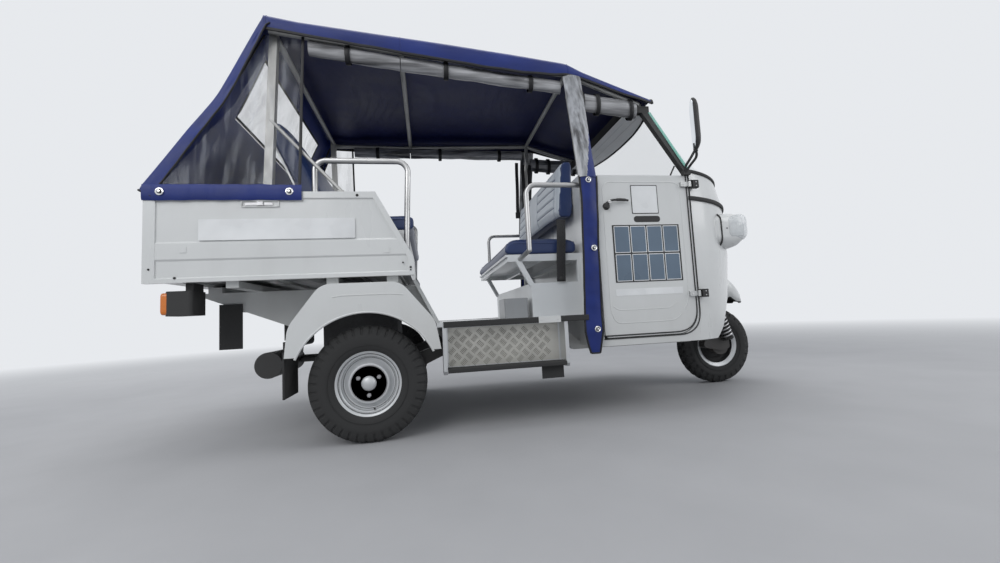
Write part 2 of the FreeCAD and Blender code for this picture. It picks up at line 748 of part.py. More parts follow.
def make_platform():
    """Passenger floor and its black edge strips."""
    deep = S.platform_top - S.platform_sheet
    front = S.cab_rear
    floor = block(
        "platform_floor", (S.platform_rear, -PLATFORM_HALF, deep), (front, PLATFORM_HALF, S.platform_top)
    )
    add_pad(floor, "XY", rectangle(S.platform_rear + 32, -PLATFORM_HALF + 36, front - 450, PLATFORM_HALF - 36),
            S.platform_top, S.platform_top + S.mat_sheet)
    keep("platform_floor", floor)
    outer = -PLATFORM_HALF
    edge = slab("edge", "YZ", [
        (outer, deep - 4), (outer, S.platform_top), (outer + 30, S.platform_top),
        (outer + 30, S.platform_top + 4), (outer - S.nosing, S.platform_top + 4, 6),
        (outer - S.nosing, deep - 4, 4),
    ], S.platform_rear + 30, S.strip_rear - 10)
    both("floor_nosings", edge)


def make_steps():
    """Hanging side steps: end plates, a riser and a tread."""
    deep = S.platform_top - S.platform_sheet
    outer = -PLATFORM_HALF + 2
    inner = outer + S.step_deep
    tread = S.step_low + 16
    pieces = [
        slab("step_rear_post", "YZ", [
            (outer + 12, S.step_low), (inner, S.step_low), (inner, deep), (outer, deep), (outer, tread)
        ], S.step_rear, S.step_rear + S.step_post),
        slab("step_front_post", "YZ", [
            (outer + 12, S.step_low), (inner, S.step_low), (inner, deep), (outer, deep), (outer, tread)
        ], S.step_front - S.step_post, S.step_front),
        block("step_riser", (S.step_rear + S.step_post, inner - S.step_riser, tread),
              (S.step_front - S.step_post, inner, deep)),
        block("step_tread", (S.step_rear + S.step_post, outer, tread),
              (S.step_front - S.step_post, inner, tread + S.step_riser)),
    ]
    both("side_steps", fuse("step", pieces))
    top = tread + S.step_riser
    edge = slab("tread_edge", "YZ", [
        (outer, tread), (outer, top), (outer + 60, top), (outer + 60, top + 4),
        (outer - S.nosing + 3, top + 4, 5), (outer - S.nosing + 3, tread - 8, 4), (outer, tread - 8),
    ], S.step_rear + S.step_post + 1, S.step_front - S.step_post - 1)
    both("step_nosings", edge)


def make_rear_bench():
    """Forward-facing bench on the bed: box frame, cushion and leaning backrest."""
    floor = S.box_bottom + S.floor_rib + S.floor_sheet
    seat = S.bench_top - S.bench_cushion
    half = BENCH_HALF - 10
    front = S.bench_front - 46
    rear = S.bench_rear
    frame = [
        block("bench_front", (front - 12, -half, floor), (front, half, seat - S.seat_gap)),
        block("bench_top_board", (rear, -half, seat - 20), (front, half, seat - S.seat_gap)),
        block("bench_back_board", (rear, -half, floor), (rear + 12, half, seat - S.seat_gap)),
    ]
    for side in (-1, 1):
        near = half * side - 6
        frame.append(block("bench_end_%d" % (side + 1), (rear, near - 6 * side, floor),
                           (front, near - 6 * side + 12, seat - 10)))
    foot = S.bench_rear - 40
    for side in (-1, 1):
        near = size(side * 420)
        frame.append(slab("bench_upright_%d" % (side + 1), "XZ", [
            (rear + 6, floor), (rear - 34, floor), (rear - 34, seat),
            (foot - S.bench_back_lean - 14 - S.back_thick / 2, S.bench_back_top - 60),
            (foot - S.bench_back_lean + 16 - S.back_thick / 2, S.bench_back_top - 60),
            (rear + 6, seat - 24),
        ], near - 15, near + 15))
    keep("rear_bench_frame", fuse("rear_bench_frame", frame))
    keep("rear_bench_cushion", slab("rear_bench_cushion", "XZ", rectangle(
        rear, seat, S.bench_front, S.bench_top, 26), -BENCH_HALF, BENCH_HALF))


def make_rear_back():
    """Backrest of the rear bench, leaning back on the uprights."""
    low = S.bench_top + 12
    foot = S.bench_rear - 40
    lean = S.bench_back_lean
    thick = S.back_thick
    gap = S.seat_gap * 2
    seat = S.bench_top - S.bench_cushion
    run = foot - lean + 16 - thick / 2 - S.bench_rear - 6
    slope = run / (S.bench_back_top - 60 - seat + 24)
    low_rear = S.bench_rear + 6 + slope * (low - seat + 24) + gap
    top_rear = S.bench_rear + 6 + slope * (S.bench_back_top - seat + 24) + gap
    keep("rear_bench_back", slab("rear_bench_back", "XZ", [
        (low_rear, low, 16), (low_rear + thick, low, 26), (top_rear + thick - 10, S.bench_back_top, 28),
        (top_rear, S.bench_back_top, 28),
    ], -BENCH_HALF + 10, BENCH_HALF - 10))


def make_jump_bench():
    """Rear-facing bench against the cab: box, board, cushion, backrest and locker."""
    floor = S.platform_top
    board = S.jump_top - S.jump_cushion
    front = S.cab_rear
    box_rear = front - 281
    half = S.jump_half - 15
    tube = S.jump_tube
    under = board - 12
    pieces = [
        block("jump_riser", (box_rear, -half, floor), (box_rear + 12, half, S.jump_box_top)),
        block("jump_board", (S.jump_rear + 14, -half, under), (front, half, board - S.seat_gap)),
    ]
    for number, x in enumerate((S.jump_rear + 24, box_rear + 70, front - tube)):
        pieces.append(block("jump_cross_%d" % number, (x, -half, under - tube), (x + tube, half, under)))
    side = slab("jump_side", "XZ", [
        (box_rear, floor), (front, floor), (front, S.jump_box_top), (box_rear, S.jump_box_top),
    ], -half, -half + 12)
    rail = block("jump_rail", (S.jump_rear + 24, -half, under - tube), (front, -half + tube, under))
    post = block("jump_post", (front - tube, -half, S.jump_box_top - 5), (front, -half + tube, under))
    brace = slab("jump_brace", "XZ", [
        (box_rear - 6, S.jump_box_top - 14), (box_rear + 14, S.jump_box_top),
        (box_rear - 52, under - 10), (box_rear - 82, under - 10),
    ], -half, -half + tube)
    nearby = [side, rail, post, brace]
    pieces += nearby + [mirror(item, item.Name + "_twin") for item in nearby]
    keep("front_bench_box", fuse("front_bench_box", pieces))
    keep("front_bench_cushion", slab("front_bench_cushion", "XZ", [
        (S.jump_rear, board, 22), (S.jump_front - 4, board, 22), (S.jump_front - 4, S.jump_top, 40),
        (S.jump_rear, S.jump_top, 62),
    ], -S.jump_half, S.jump_half))
    thick = S.jump_back_thick
    face = front - S.seat_gap
    keep("front_bench_back", slab("front_bench_back", "XZ", [
        (face - thick - 34, S.jump_back_low, 22), (face - 26, S.jump_back_low, 14),
        (face, S.jump_back_low + 80), (face, S.jump_back_top, 24), (face - thick, S.jump_back_top, 30),
    ], -S.jump_back_half, S.jump_back_half))
    keep("locker", slab("locker", "XY", rectangle(
        box_rear - 146, -half, box_rear - 22, -half + 180, 10), floor, floor + 104))


def make_handrails():
    """Bent steel handrails beside both benches."""
    wall = -(S.box_half_width - S.box_wall) + S.seat_gap
    beside = wall + S.hoop_radius + 12
    hoop = pipe("hoop", "XZ", beside, [
        (-210, S.box_top - 115), (-210, 1275, 50), (205, 1275, 50), (186, 856),
    ], S.hoop_radius, "XY")
    feet = [
        rod("hoop_foot_rear", "XZ", -210, S.box_top - 90, 9, wall, beside),
        rod("hoop_foot_front", "XZ", 185, 872, 9, wall, beside),
    ]
    both("rear_handrails", fuse("rear_hoop", [hoop] + feet))
    beside = -S.cab_half_width + 10
    knee = S.jump_top - S.jump_cushion + 4
    foot = knee - S.jump_tube - 4
    rail = pipe("rail", "XZ", beside, [
        (S.cab_rear - S.bow_radius * 2 - 3 - S.seat_gap, 1173), (776, 1173, 50), (776, knee),
    ], S.hoop_radius, "YZ")
    bend = ball("rail_bend", (776, beside, knee), S.hoop_radius)
    leg = strut("rail_leg", (776, beside, knee), (750, -S.jump_half + 20, foot), S.hoop_radius - 1)
    front_rail = cut("front_rail", fuse("front_rail_tube", [rail, bend, leg]), [
        block("rail_trim", (700, -S.jump_half + 15 - S.seat_gap, foot - 60), (820, -S.jump_half + 60, knee + 60))
    ])
    both("front_handrails", front_rail)


def nose_outline(nose, inset, rear):
    """Plan of the cab: straight sides and a round nose, inset by a wall."""
    half = S.cab_half_width - inset
    return [
        (rear, -half), (S.nose_side, -half), ("via", nose - inset, 0), (S.nose_side, half), (rear, half)
    ]


def make_cab():
    """Hollow cab shell with a round nose, open doorways, a wheel arch and an open top."""
    levels = (
        (S.cab_bottom, S.nose_low), (S.nose_mid_height, S.nose_mid), (S.cab_top - 130, S.nose_mid - 12),
        (S.cab_top, S.nose_top),
    )
    outer = ruled("cab_outer", "XY", [
        (level, nose_outline(nose, 0, S.cab_rear)) for level, nose in levels
    ])
    wall = S.cab_wall
    inner = ruled("cab_inner", "XY", [
        (level, nose_outline(nose, wall, S.cab_rear + wall)) for level, nose in levels
    ])
    far = S.nose_mid + 100
    wide = S.cab_half_width + 50
    arch = slab("arch_cut", "XZ", [
        (S.arch_foot, S.cab_bottom - 50), (S.arch_foot, S.cab_bottom), (S.arch_foot + 80, S.cab_bottom + 60),
        (S.arch_head, S.nose_under), (far, S.nose_under), (far, S.cab_bottom - 50),
    ], -wide, wide)
    arch_inside = slab("arch_inside", "XZ", [
        (S.arch_foot - wall, S.cab_bottom - 50), (S.arch_foot - wall, S.cab_bottom + 6),
        (S.arch_foot + 80 - wall, S.cab_bottom + 60 + 14),
        (S.arch_head - 16, S.nose_under + wall), (far, S.nose_under + wall), (far, S.cab_bottom - 50),
    ], -wide, wide)
    room = cut("cab_room", inner, [arch_inside])
    play = S.door_play
    doorway = slab("doorway", "XZ", [
        (S.door_rear - play, S.door_bottom - play),
        (S.door_front + play, S.door_bottom - play, S.door_corner + play),
        (S.door_front + play, S.cab_top + 20), (S.door_rear - play, S.cab_top + 20),
    ], -wide, wide)
    column = strut("column_hole", on_steering_line(S.nose_under - 40), on_steering_line(S.nose_under + 80),
                   S.head_radius + 6)
    notches = []
    for side in (-1, 1):
        middle = (RAIL_OUT - S.rail_thick / 2) * side
        reach = S.rail_thick / 2 + S.seat_gap
        notches.append(block("member_notch_%d" % (side + 1), (S.cab_rear - 5, middle - reach, S.cab_bottom - 5),
                             (S.cab_rear + wall + 5, middle + reach,
                              S.cab_floor_top - S.cab_floor_sheet + S.seat_gap)))
    shell = cut("cab_shell", cut("cab_body", outer, [arch]), [room, doorway, column] + notches)
    keep("cab_shell", shell)
    floor_top = S.cab_floor_top
    inside = wall + S.seat_gap
    half = S.cab_half_width - inside
    floor_box = block("cab_floor_box", (S.cab_rear + wall + S.seat_gap, -half, floor_top - S.cab_floor_sheet),
                      (S.arch_foot + 20, half, floor_top))
    keep("cab_floor", common("cab_floor", floor_box, room))
    return outer, inner


def steer_x(height):
    """Place of the steering line at a height."""
    return S.wheel_base + S.steer_trail - S.steer_lean * height


def on_steering_line(height):
    """The steering line's point at a height."""
    return steer_x(height), 0, height


def roof_at(x):
    """Half width and height of the canopy at a place along it, between the bows."""
    stations = (
        (S.canopy_rear, S.roof_rear_half, S.roof_rear_top),
        (S.canopy_mid, S.roof_mid_half, S.roof_mid_top),
        (S.canopy_front, S.roof_front_half, S.roof_front_top),
        (S.canopy_nose, S.roof_nose_half, S.roof_nose_top),
    )
    x = size(x)
    for first, last in zip(stations, stations[1:]):
        if x.value <= last[0].value or last is stations[-1]:
            share = (x - first[0]) / (last[0] - first[0])
            return first[1] + (last[1] - first[1]) * share, first[2] + (last[2] - first[2]) * share


def make_door(label, fittings):
    """Right-hand half door with a pressed outer face, its handle and hinge straps."""
    outer = -S.cab_half_width
    inner = outer + S.door_thickness
    body = slab("door", "XZ", [
        (S.door_rear, S.door_bottom, 20), (S.door_front, S.door_bottom, S.door_corner),
        (S.door_front, S.door_top, 20), (S.door_rear, S.door_top, 20),
    ], outer, inner)
    add_pocket(body, "XZ", [
        (S.door_rear + 40, S.door_bottom + 40, 30), (S.door_front - 40, S.door_bottom + 40, 80),
        (S.door_front - 40, S.door_top - 60, 30), (S.door_rear + 40, S.door_top - 60, 30),
    ], inner - 16, inner)
    handle = slab("handle", "XZ", [
        (1215, 1070, 8), (1330, 1070, 8), (1330, 1092, 8), (1215, 1092, 8),
    ], outer - 26, outer - 14)
    pieces = [handle]
    for number, x in enumerate((1222, 1308)):
        pieces.append(block("handle_foot_%d" % number, (x, outer - 14, 1074), (x + 14, outer, 1088)))
    line_x = S.door_front + 14
    line_y = outer - S.door_hinge_out
    for number, height in enumerate((1190, 640)):
        pieces.append(slab("hinge_strap_%d" % number, "XY", [
            (line_x - 90, outer), (line_x - 90, outer - 6), (line_x - 24, outer - 6), (line_x - 6, line_y - 8),
            (line_x + 6, line_y - 8), (line_x + 6, line_y + 6), (line_x - 4, line_y + 8), (line_x - 22, outer),
        ], height + 1, height + 22))
    keep(label, body)
    keep(fittings, group(fittings, pieces))


def make_doors():
    """Both doors, with the brackets on the cab that their hinge straps turn on."""
    make_door("door_right", "door_fittings_right")
    keep("door_left", mirror(PARTS["door_right"], "door_left_twin"))
    keep("door_fittings_left", mirror(PARTS["door_fittings_right"], "door_fittings_left_twin"))
    outer = -S.cab_half_width
    line_x = S.door_front + 14
    line_y = outer - S.door_hinge_out
    pieces = []
    for number, height in enumerate((1190, 640)):
        pieces.append(slab("hinge_bracket_%d" % number, "XY", [
            (line_x - 8, line_y - 8), (line_x + 8, line_y - 8), (line_x + 34, outer - 8),
            (line_x + 34, outer), (line_x - 2, outer), (line_x - 8, line_y + 6),
        ], height - 22, height))
    both("door_hinge_brackets", group("hinge_bracket_pair", pieces))


def make_screen():
    """Windscreen pillars, header and one curved pane."""
    low = S.cab_top
    high = S.screen_top
    top_x = S.screen_top_side
    top_y = S.screen_top_half
    pillar = ruled("pillar", "XY", [
        (low, rectangle(1664, -650, 1664 + S.pillar, -650 + S.pillar - 6)),
        (high, rectangle(top_x - 20, -top_y - 4, top_x + 20, -top_y + 28)),
    ])
    header = slab("header", "XY", [
        (S.header_rear, -top_y - 4, 20), (top_x + 26, -top_y - 4), ("via", SCREEN_TOP_NOSE + 12, 0),
        (top_x + 26, top_y + 4), (S.header_rear, top_y + 4, 20),
    ], high, high + S.header_height)
    keep("windscreen_frame", fuse("windscreen_frame", [pillar, mirror(pillar, "pillar_twin"), header]))
    pane = S.glass
    sections = []
    for level, side, half, nose in ((low, size(1710), size(642), S.nose_top - 8),
                                    (high, top_x + 24, top_y, SCREEN_TOP_NOSE)):
        sections.append((level, [
            (side, -half), ("via", nose, 0), (side, half), (side, half - pane),
            ("via", nose - pane, 0), (side, -half + pane),
        ]))
    keep("windscreen_glass", ruled("windscreen_glass", "XY", sections))


def make_cab_inside(inner):
    """Dashboard under the windscreen and the driver's seat on its box."""
    dash_rear = steer_x(S.bar_height) + 106
    dash_box = block("dash_box", (dash_rear, -620, S.cab_top - 80), (S.nose_mid + 60, 620, S.cab_top - 15))
    keep("dashboard", common("dashboard", dash_box, inner))
    floor = S.cab_floor_top
    rear = S.cab_rear + S.cab_wall
    seat = floor + 300
    keep("driver_seat_box", block("driver_seat_box", (rear + 10, -400, floor), (rear + 360, 400, seat)))
    cushion = slab("seat_cushion", "XZ", rectangle(rear + 12, seat, rear + 400, seat + 95, 30), -410, 410)
    keep("driver_seat_cushion", cushion)
    keep("driver_seat_back", slab("driver_seat_back", "XZ", [
        (rear + S.seat_gap, seat + 110, 10), (rear + 90, seat + 110, 30), (rear + 70, S.cab_top - 20, 30),
        (rear + S.seat_gap, S.cab_top - 20, 10),
    ], -380, 380))


def make_nose(outer):
    """Front mudguard, headlamp pods with lenses, and mirrors."""
    half = 135
    guard = slab("guard", "XZ", [
        (S.nose_mid - 90, 545), (S.nose_mid - 90, 705), (S.nose_mid + 24, 700, 60),
        (S.nose_mid + 250, 572, 30), (S.nose_mid + 256, 545),
    ], -half, half)
    add_pocket(guard, "XZ", [
        (S.nose_mid - 80, 545), (S.nose_mid - 80, 690), (S.nose_mid + 20, 688, 54),
        (S.nose_mid + 240, 566, 24), (S.nose_mid + 246, 545),
    ], -half + 9, half - 9)
    keep("front_mudguard", cut("front_mudguard", guard, [outer]))
    pod = rod("pod", "YZ", -482, 925, 104, 1880, 2108)
    pod_cut = cut("pod_cut", pod, [outer])
    both("headlamp_pods", pod_cut)
    lens = rod("lens", "YZ", -482, 925, 88, 2108, 2120)
    both("headlamp_lenses", lens)
    head = slab("mirror_head", "YZ", rectangle(-828, 1395, -690, 1596, 40), 1650, 1678)
    seat = cut("mirror_seat", block("mirror_seat_block", (1664, -686, S.cab_top - 22), (1696, -640, S.cab_top - 2)),
               [outer])
    arms = [
        strut("mirror_arm_rear", (1676, -678, S.cab_top - 10), (1660, -752, 1424), 6),
        strut("mirror_arm_front", (1686, -676, S.cab_top - 10), (1668, -752, 1470), 6),
    ]
    both("mirrors", fuse("mirror_right", [head, seat] + arms))


def make_steering():
    """Steering head tube on the nose floor, stem with handlebar, front leg, link and spring."""
    floor = S.nose_under + S.cab_wall
    radius = S.stem_radius
    tube = strut("head_tube", on_steering_line(floor + 15), on_steering_line(S.head_top), S.head_radius)
    foot = rod("head_foot", "XY", steer_x(floor + 15), 0, S.head_radius + 34, floor, floor + 22)
    bore = strut("head_bore", on_steering_line(floor - 40), on_steering_line(S.head_top + 40),
                 radius + S.run_fit)
    keep("steering_head", cut("steering_head", fuse("head_body", [tube, foot]), [bore]))
    top = S.bar_height
    start = S.nose_under - 52
    side = -S.leg_side
    stem = strut("stem", on_steering_line(start - 12), on_steering_line(top), radius)
    clamp = block("clamp", (steer_x(top) - 34, -40, top - 20), (steer_x(top) + 34, 40, top + 22))
    neck = rod("leg_neck", "XZ", steer_x(start), start, S.leg_radius - 4, side - S.leg_radius, 10)
    leg = strut("leg", (steer_x(start), side, start), (S.link_pivot_x, side, S.link_pivot_z),
                S.leg_radius - 4)
    eye = rod("leg_eye", "XZ", S.link_pivot_x, S.link_pivot_z, 24, side - 18, side + 18)
    bracket = slab("spring_bracket", "XZ", [
        (steer_x(start) - 6, start - 14), (S.spring_top_x - 40, S.spring_top, 10),
        (S.spring_top_x + 36, S.spring_top, 14), (S.spring_top_x + 34, S.spring_top + 34, 16),
        (steer_x(start) - 6, start + 14),
    ], side - 12, side + 12)
    keep("steering_stem", fuse("steering_stem", [stem, clamp, neck, leg, eye, bracket]))
    bar_x = steer_x(top)
    keep("handlebar", pipe("handlebar", "XY", top + 22 + 11 + S.seat_gap, [
        (bar_x - 130, -330), (bar_x - 10, -180, 60), (bar_x - 10, 180, 60), (bar_x - 130, 330),
    ], 11, "YZ"))


def make_front_wheel():
    """Front tyre and rim; both turn on the link's stub axle, which comes from the right."""
    place = (S.wheel_base, 0, S.front_tyre_radius)
    keep("front_tyre", turned(
        "front_tyre", tyre_outline(S.front_tyre_radius, S.front_tyre_width), place
    ))
    keep("front_rim", mirror(turned("front_rim_source", rim_outline(), place), "front_rim"))


def rim_outline():
    """Half section of a pressed rim with its ridged disc, hub boss and blind bore."""
    half = S.rim_width / 2
    flange = S.rim_flange_radius
    seat = S.rim_seat_radius
    wall = S.rim_wall
    bore = S.stub_radius + S.run_fit
    boss = S.stub_radius + 14
    end = 30 - S.stub_length
    return [
        (-half, flange), (-half + 6, flange), (-half + 8, seat), (half - 8, seat), (half - 6, flange),
        (half, flange), (half - 5, seat - wall), (-16, seat - wall), (-16, 62), (-24, 50), (-24, boss),
        (30, boss), (30, bore), (end, bore), (end, 0), (-46, 0), (-38, 30), (-29, 40), (-29, 52),
        (-21, 64), (-21, 98), (-28, seat - wall), (-half + 5, seat - wall),
    ]


def tyre_outline(radius, width):
    """Half section of a tyre: beads, bulging walls and a flat crown."""
    half = width / 2
    bead = S.rim_seat_radius + S.seat_gap
    crown = radius
    inside = S.rim_width / 2 - 9
    shoulder = radius - 26
    middle = (bead + crown) / 2 + 6
    return [
        (-inside, bead), (inside, bead), (inside + 1, bead + 22), (half - 3, bead + 30), (half, middle),
        (half - 8, shoulder), (half - 24, crown), (-half + 24, crown), (-half + 8, shoulder),
        (-half, middle), (-half + 3, bead + 30), (-inside - 1, bead + 22),
    ]


def make_wheel(name, move, radius, width):
    """A tyre and its rim at a wheel's place."""
    keep(name + "_tyre", turned(name + "_tyre", tyre_outline(radius, width), move))
    keep(name + "_rim", turned(name + "_rim", rim_outline(), move))


def make_wheels():
    """Three wheels; the rear ones are mirror images."""
    place = (0, -REAR_TRACK_HALF, S.rear_tyre_radius)
    make_wheel("rear_right", place, S.rear_tyre_radius, S.rear_tyre_width)
    for piece in ("tyre", "rim"):
        label = "rear_left_" + piece
        keep(label, mirror(PARTS["rear_right_" + piece], label + "_twin"))
    make_front_wheel()


def make_rear_axle():
    """Trailing arms with hub carriers, drums, stub axles and drive shafts."""
    height = S.rear_tyre_radius
    inner = -RAIL_OUT - S.seat_gap
    outer = -FENDER_INNER + S.seat_gap * 2
    pivot_x = 430
    pivot_z = S.platform_top - S.platform_sheet - S.frame_deep - 20
    arm = slab("arm", "XZ", [
        (-46, height - 34, 24), (60, height - 36, 60), (pivot_x - 10, pivot_z - 30, 14),
        (pivot_x + 30, pivot_z - 26, 14), (pivot_x + 30, pivot_z + 14, 14),
        (pivot_x - 30, pivot_z + 18, 30), (40, height + 50, 60), (-46, height + 44, 30),
    ], outer, inner)
    hub_face = -(REAR_TRACK_HALF - 30) + S.seat_gap
    carrier = rod("carrier", "XZ", 0, height, 50, hub_face + 34, outer)
    drum = rod("drum", "XZ", 0, height, S.drum_radius, hub_face, hub_face + 36)
    end = -(REAR_TRACK_HALF + S.stub_length - 30) + 1
    stub = rod("stub", "XZ", 0, height, S.stub_radius, end, outer)
    shaft = strut("shaft", (0, outer - 12, height), (0, -194, height + 60), 15)
    both("rear_axle", fuse("half_axle", [arm, carrier, drum, stub, shaft]))
    keep("engine_block", block("engine_block", (-300, -190, 255), (100, 190, S.frame_arch)))
    can = rod("can", "XZ", -486, 350, 62, -470, -90)
    tail = rod("tail_pipe", "YZ", -150, 350, 17, -450, -300 - S.seat_gap)
    bracket = block("can_bracket", (-450, -128, 330), (-300 - S.seat_gap, -118, 370))
    filter_box = slab("filter_box", "XZ", rectangle(-424, 432, -336, 590, 20), -384, -240)
    filter_neck = block("filter_neck", (-462, -340, 376), (-404, -300, 452))
    keep("silencer", fuse("silencer", [can, tail, bracket, filter_box, filter_neck]))


def make_front_end():
    """Swinging link beside the front wheel with its stub axle, and the spring that stands on it."""
    height = S.front_tyre_radius
    side = -S.leg_side
    near = side + 18 + S.seat_gap
    far = near + 20
    seat = S.spring_low
    link = slab("link", "XZ", [
        (S.link_pivot_x - 24, S.link_pivot_z - 22, 20), (S.wheel_base, height - 34, 40),
        (S.wheel_base + 60, height - 20, 20), (S.wheel_base + 56, seat, 12),
        (S.wheel_base + 4, seat, 12), (S.link_pivot_x - 24, S.link_pivot_z + 24, 20),
    ], near, far)
    lug = block("spring_lug", (S.wheel_base + 6, side - 22, seat - 22), (S.wheel_base + 54, near + 4, seat))
    carrier = rod("front_carrier", "XZ", S.wheel_base, height, 62, far - 4, -30 - S.seat_gap)
    stub = rod("front_stub", "XZ", S.wheel_base, height, S.stub_radius, near + 4, S.stub_length - 31)
    keep("front_link", fuse("front_link", [link, lug, carrier, stub]))
    keep("front_spring", level_strut(
        "front_spring", "XY", (seat + S.seat_gap, S.wheel_base + 29, side, 20),
        (S.spring_top - S.seat_gap, S.spring_top_x, side, 20)
    ))


def make_canopy_frame():
    """Rear posts, bows, eave rails, front legs and rear braces of the soft top."""
    inner_round = S.roof_corner - S.roof_sheet
    inset = S.roof_corner - (inner_round - S.bow_radius - 3) * 0.7071
    drop = S.roof_sheet + S.bow_radius + 4
    rail_points = []
    for x in (S.canopy_rear + 12, S.canopy_mid, S.canopy_front, S.canopy_nose - 72):
        half, top = roof_at(x)
        rail_points.append((x, -(half - inset), top - inset))
    pieces = []
    for number, (first, last) in enumerate(zip(rail_points, rail_points[1:])):
        pieces.append(strut("eave_%d" % number, first, last, S.bow_radius))
    joint = S.bow_radius + 1.5
    for number, place in enumerate(rail_points[1:3]):
        pieces.append(ball("eave_joint_%d" % number, place, joint))
    rear_half, rear_top = roof_at(S.canopy_rear)
    post_x = S.canopy_rear + 8
    foot_y = -S.box_half_width + 10
    head_y = -rear_half + 55
    pieces.append(slab("rear_post", "YZ", [
        (foot_y, S.box_top), (foot_y + S.post, S.box_top), (head_y + S.post, rear_top - 30),
        (head_y, rear_top - 30),
    ], post_x, post_x + S.post))
    front_half, front_top = roof_at(S.canopy_front)
    leg_x = S.cab_rear - S.bow_radius - 3
    bend = front_top - S.valance - 30
    top_y = -(front_half - inset)
    leg_y = -S.cab_half_width + 6
    pieces.append(rod("front_leg_low", "XY", leg_x, leg_y, S.bow_radius, S.platform_top, 1200))
    pieces.append(strut("front_leg_high", (leg_x, leg_y, 1200), (S.canopy_front, top_y, bend), S.bow_radius))
    pieces.append(rod("front_leg_top", "XY", S.canopy_front, top_y, S.bow_radius, bend, front_top - inset))
    pieces.append(ball("leg_knee", (leg_x, leg_y, 1200), joint))
    pieces.append(ball("leg_neck_joint", (S.canopy_front, top_y, bend), joint))
    brace_y = -S.box_half_width + 16
    pieces.append(strut("rear_brace", (-90, brace_y, S.box_top + 7), (post_x + 18, brace_y + 38, 1460), 8))
    pieces.append(block("brace_foot", (-104, brace_y - 8, S.box_top), (-78, brace_y + 10, S.box_top + 9)))
    twins = [mirror(item, item.Name + "_twin") for item in pieces]
    across = []
    for number, x in enumerate((S.canopy_rear + 26, S.canopy_mid, S.canopy_front)):
        half, top = roof_at(x)
        reach = half - inset - 8
        across.append(rod("bow_%d" % number, "XZ", x, top - drop, S.bow_radius, -reach, reach))
    bow_x = S.canopy_nose - 66
    bow_z = S.screen_top + S.header_height + 11
    half, top = roof_at(bow_x)
    reach = half - inset
    across.append(rod("nose_bow", "XZ", bow_x, bow_z, 11, -reach, reach))
    for number, side in enumerate((-1, 1)):
        across.append(rod("nose_riser_%d" % number, "XY", bow_x, reach * side, 9, bow_z, top - inset))
    keep("canopy_frame", fuse("canopy_frame", pieces + twins + across))


def roof_outline(half, top, low):
    """Cross section of the soft top: a flat crown, round long edges and hanging sides."""
    sheet = S.roof_sheet
    inner = half - sheet
    round_in = S.roof_corner - sheet
    return [
        (-inner, low), (-inner, top - sheet, round_in), (inner, top - sheet, round_in), (inner, low),
        (half, low), (half, top, S.roof_corner), (-half, top, S.roof_corner), (-half, low),
    ]


def make_canopy_cover():
    """Soft top with hanging valances and a sloped rear cover down to the bed."""
    sections = []
    for x, hang in ((S.canopy_rear, S.valance), (S.canopy_mid, S.valance), (S.canopy_front, S.valance),
                    (S.canopy_nose, S.valance - 45)):
        half, top = roof_at(x)
        sections.append((x, roof_outline(half, top, top - hang)))
    roof = ruled("roof", "YZ", sections)
    half, top = roof_at(S.canopy_rear)
    sheet = S.roof_sheet
    low_x = S.box_rear - S.hem_back
    slope = ruled("rear_slope", "XY", [
        (S.hem_height, rectangle(low_x, -HEM_HALF, low_x + sheet + 2, HEM_HALF)),
        (top, rectangle(S.canopy_rear - 14, -half + 10, S.canopy_rear + 12, half - 10)),
    ])
    keep("canopy_cover", fuse("canopy_cover", [roof, slope]))


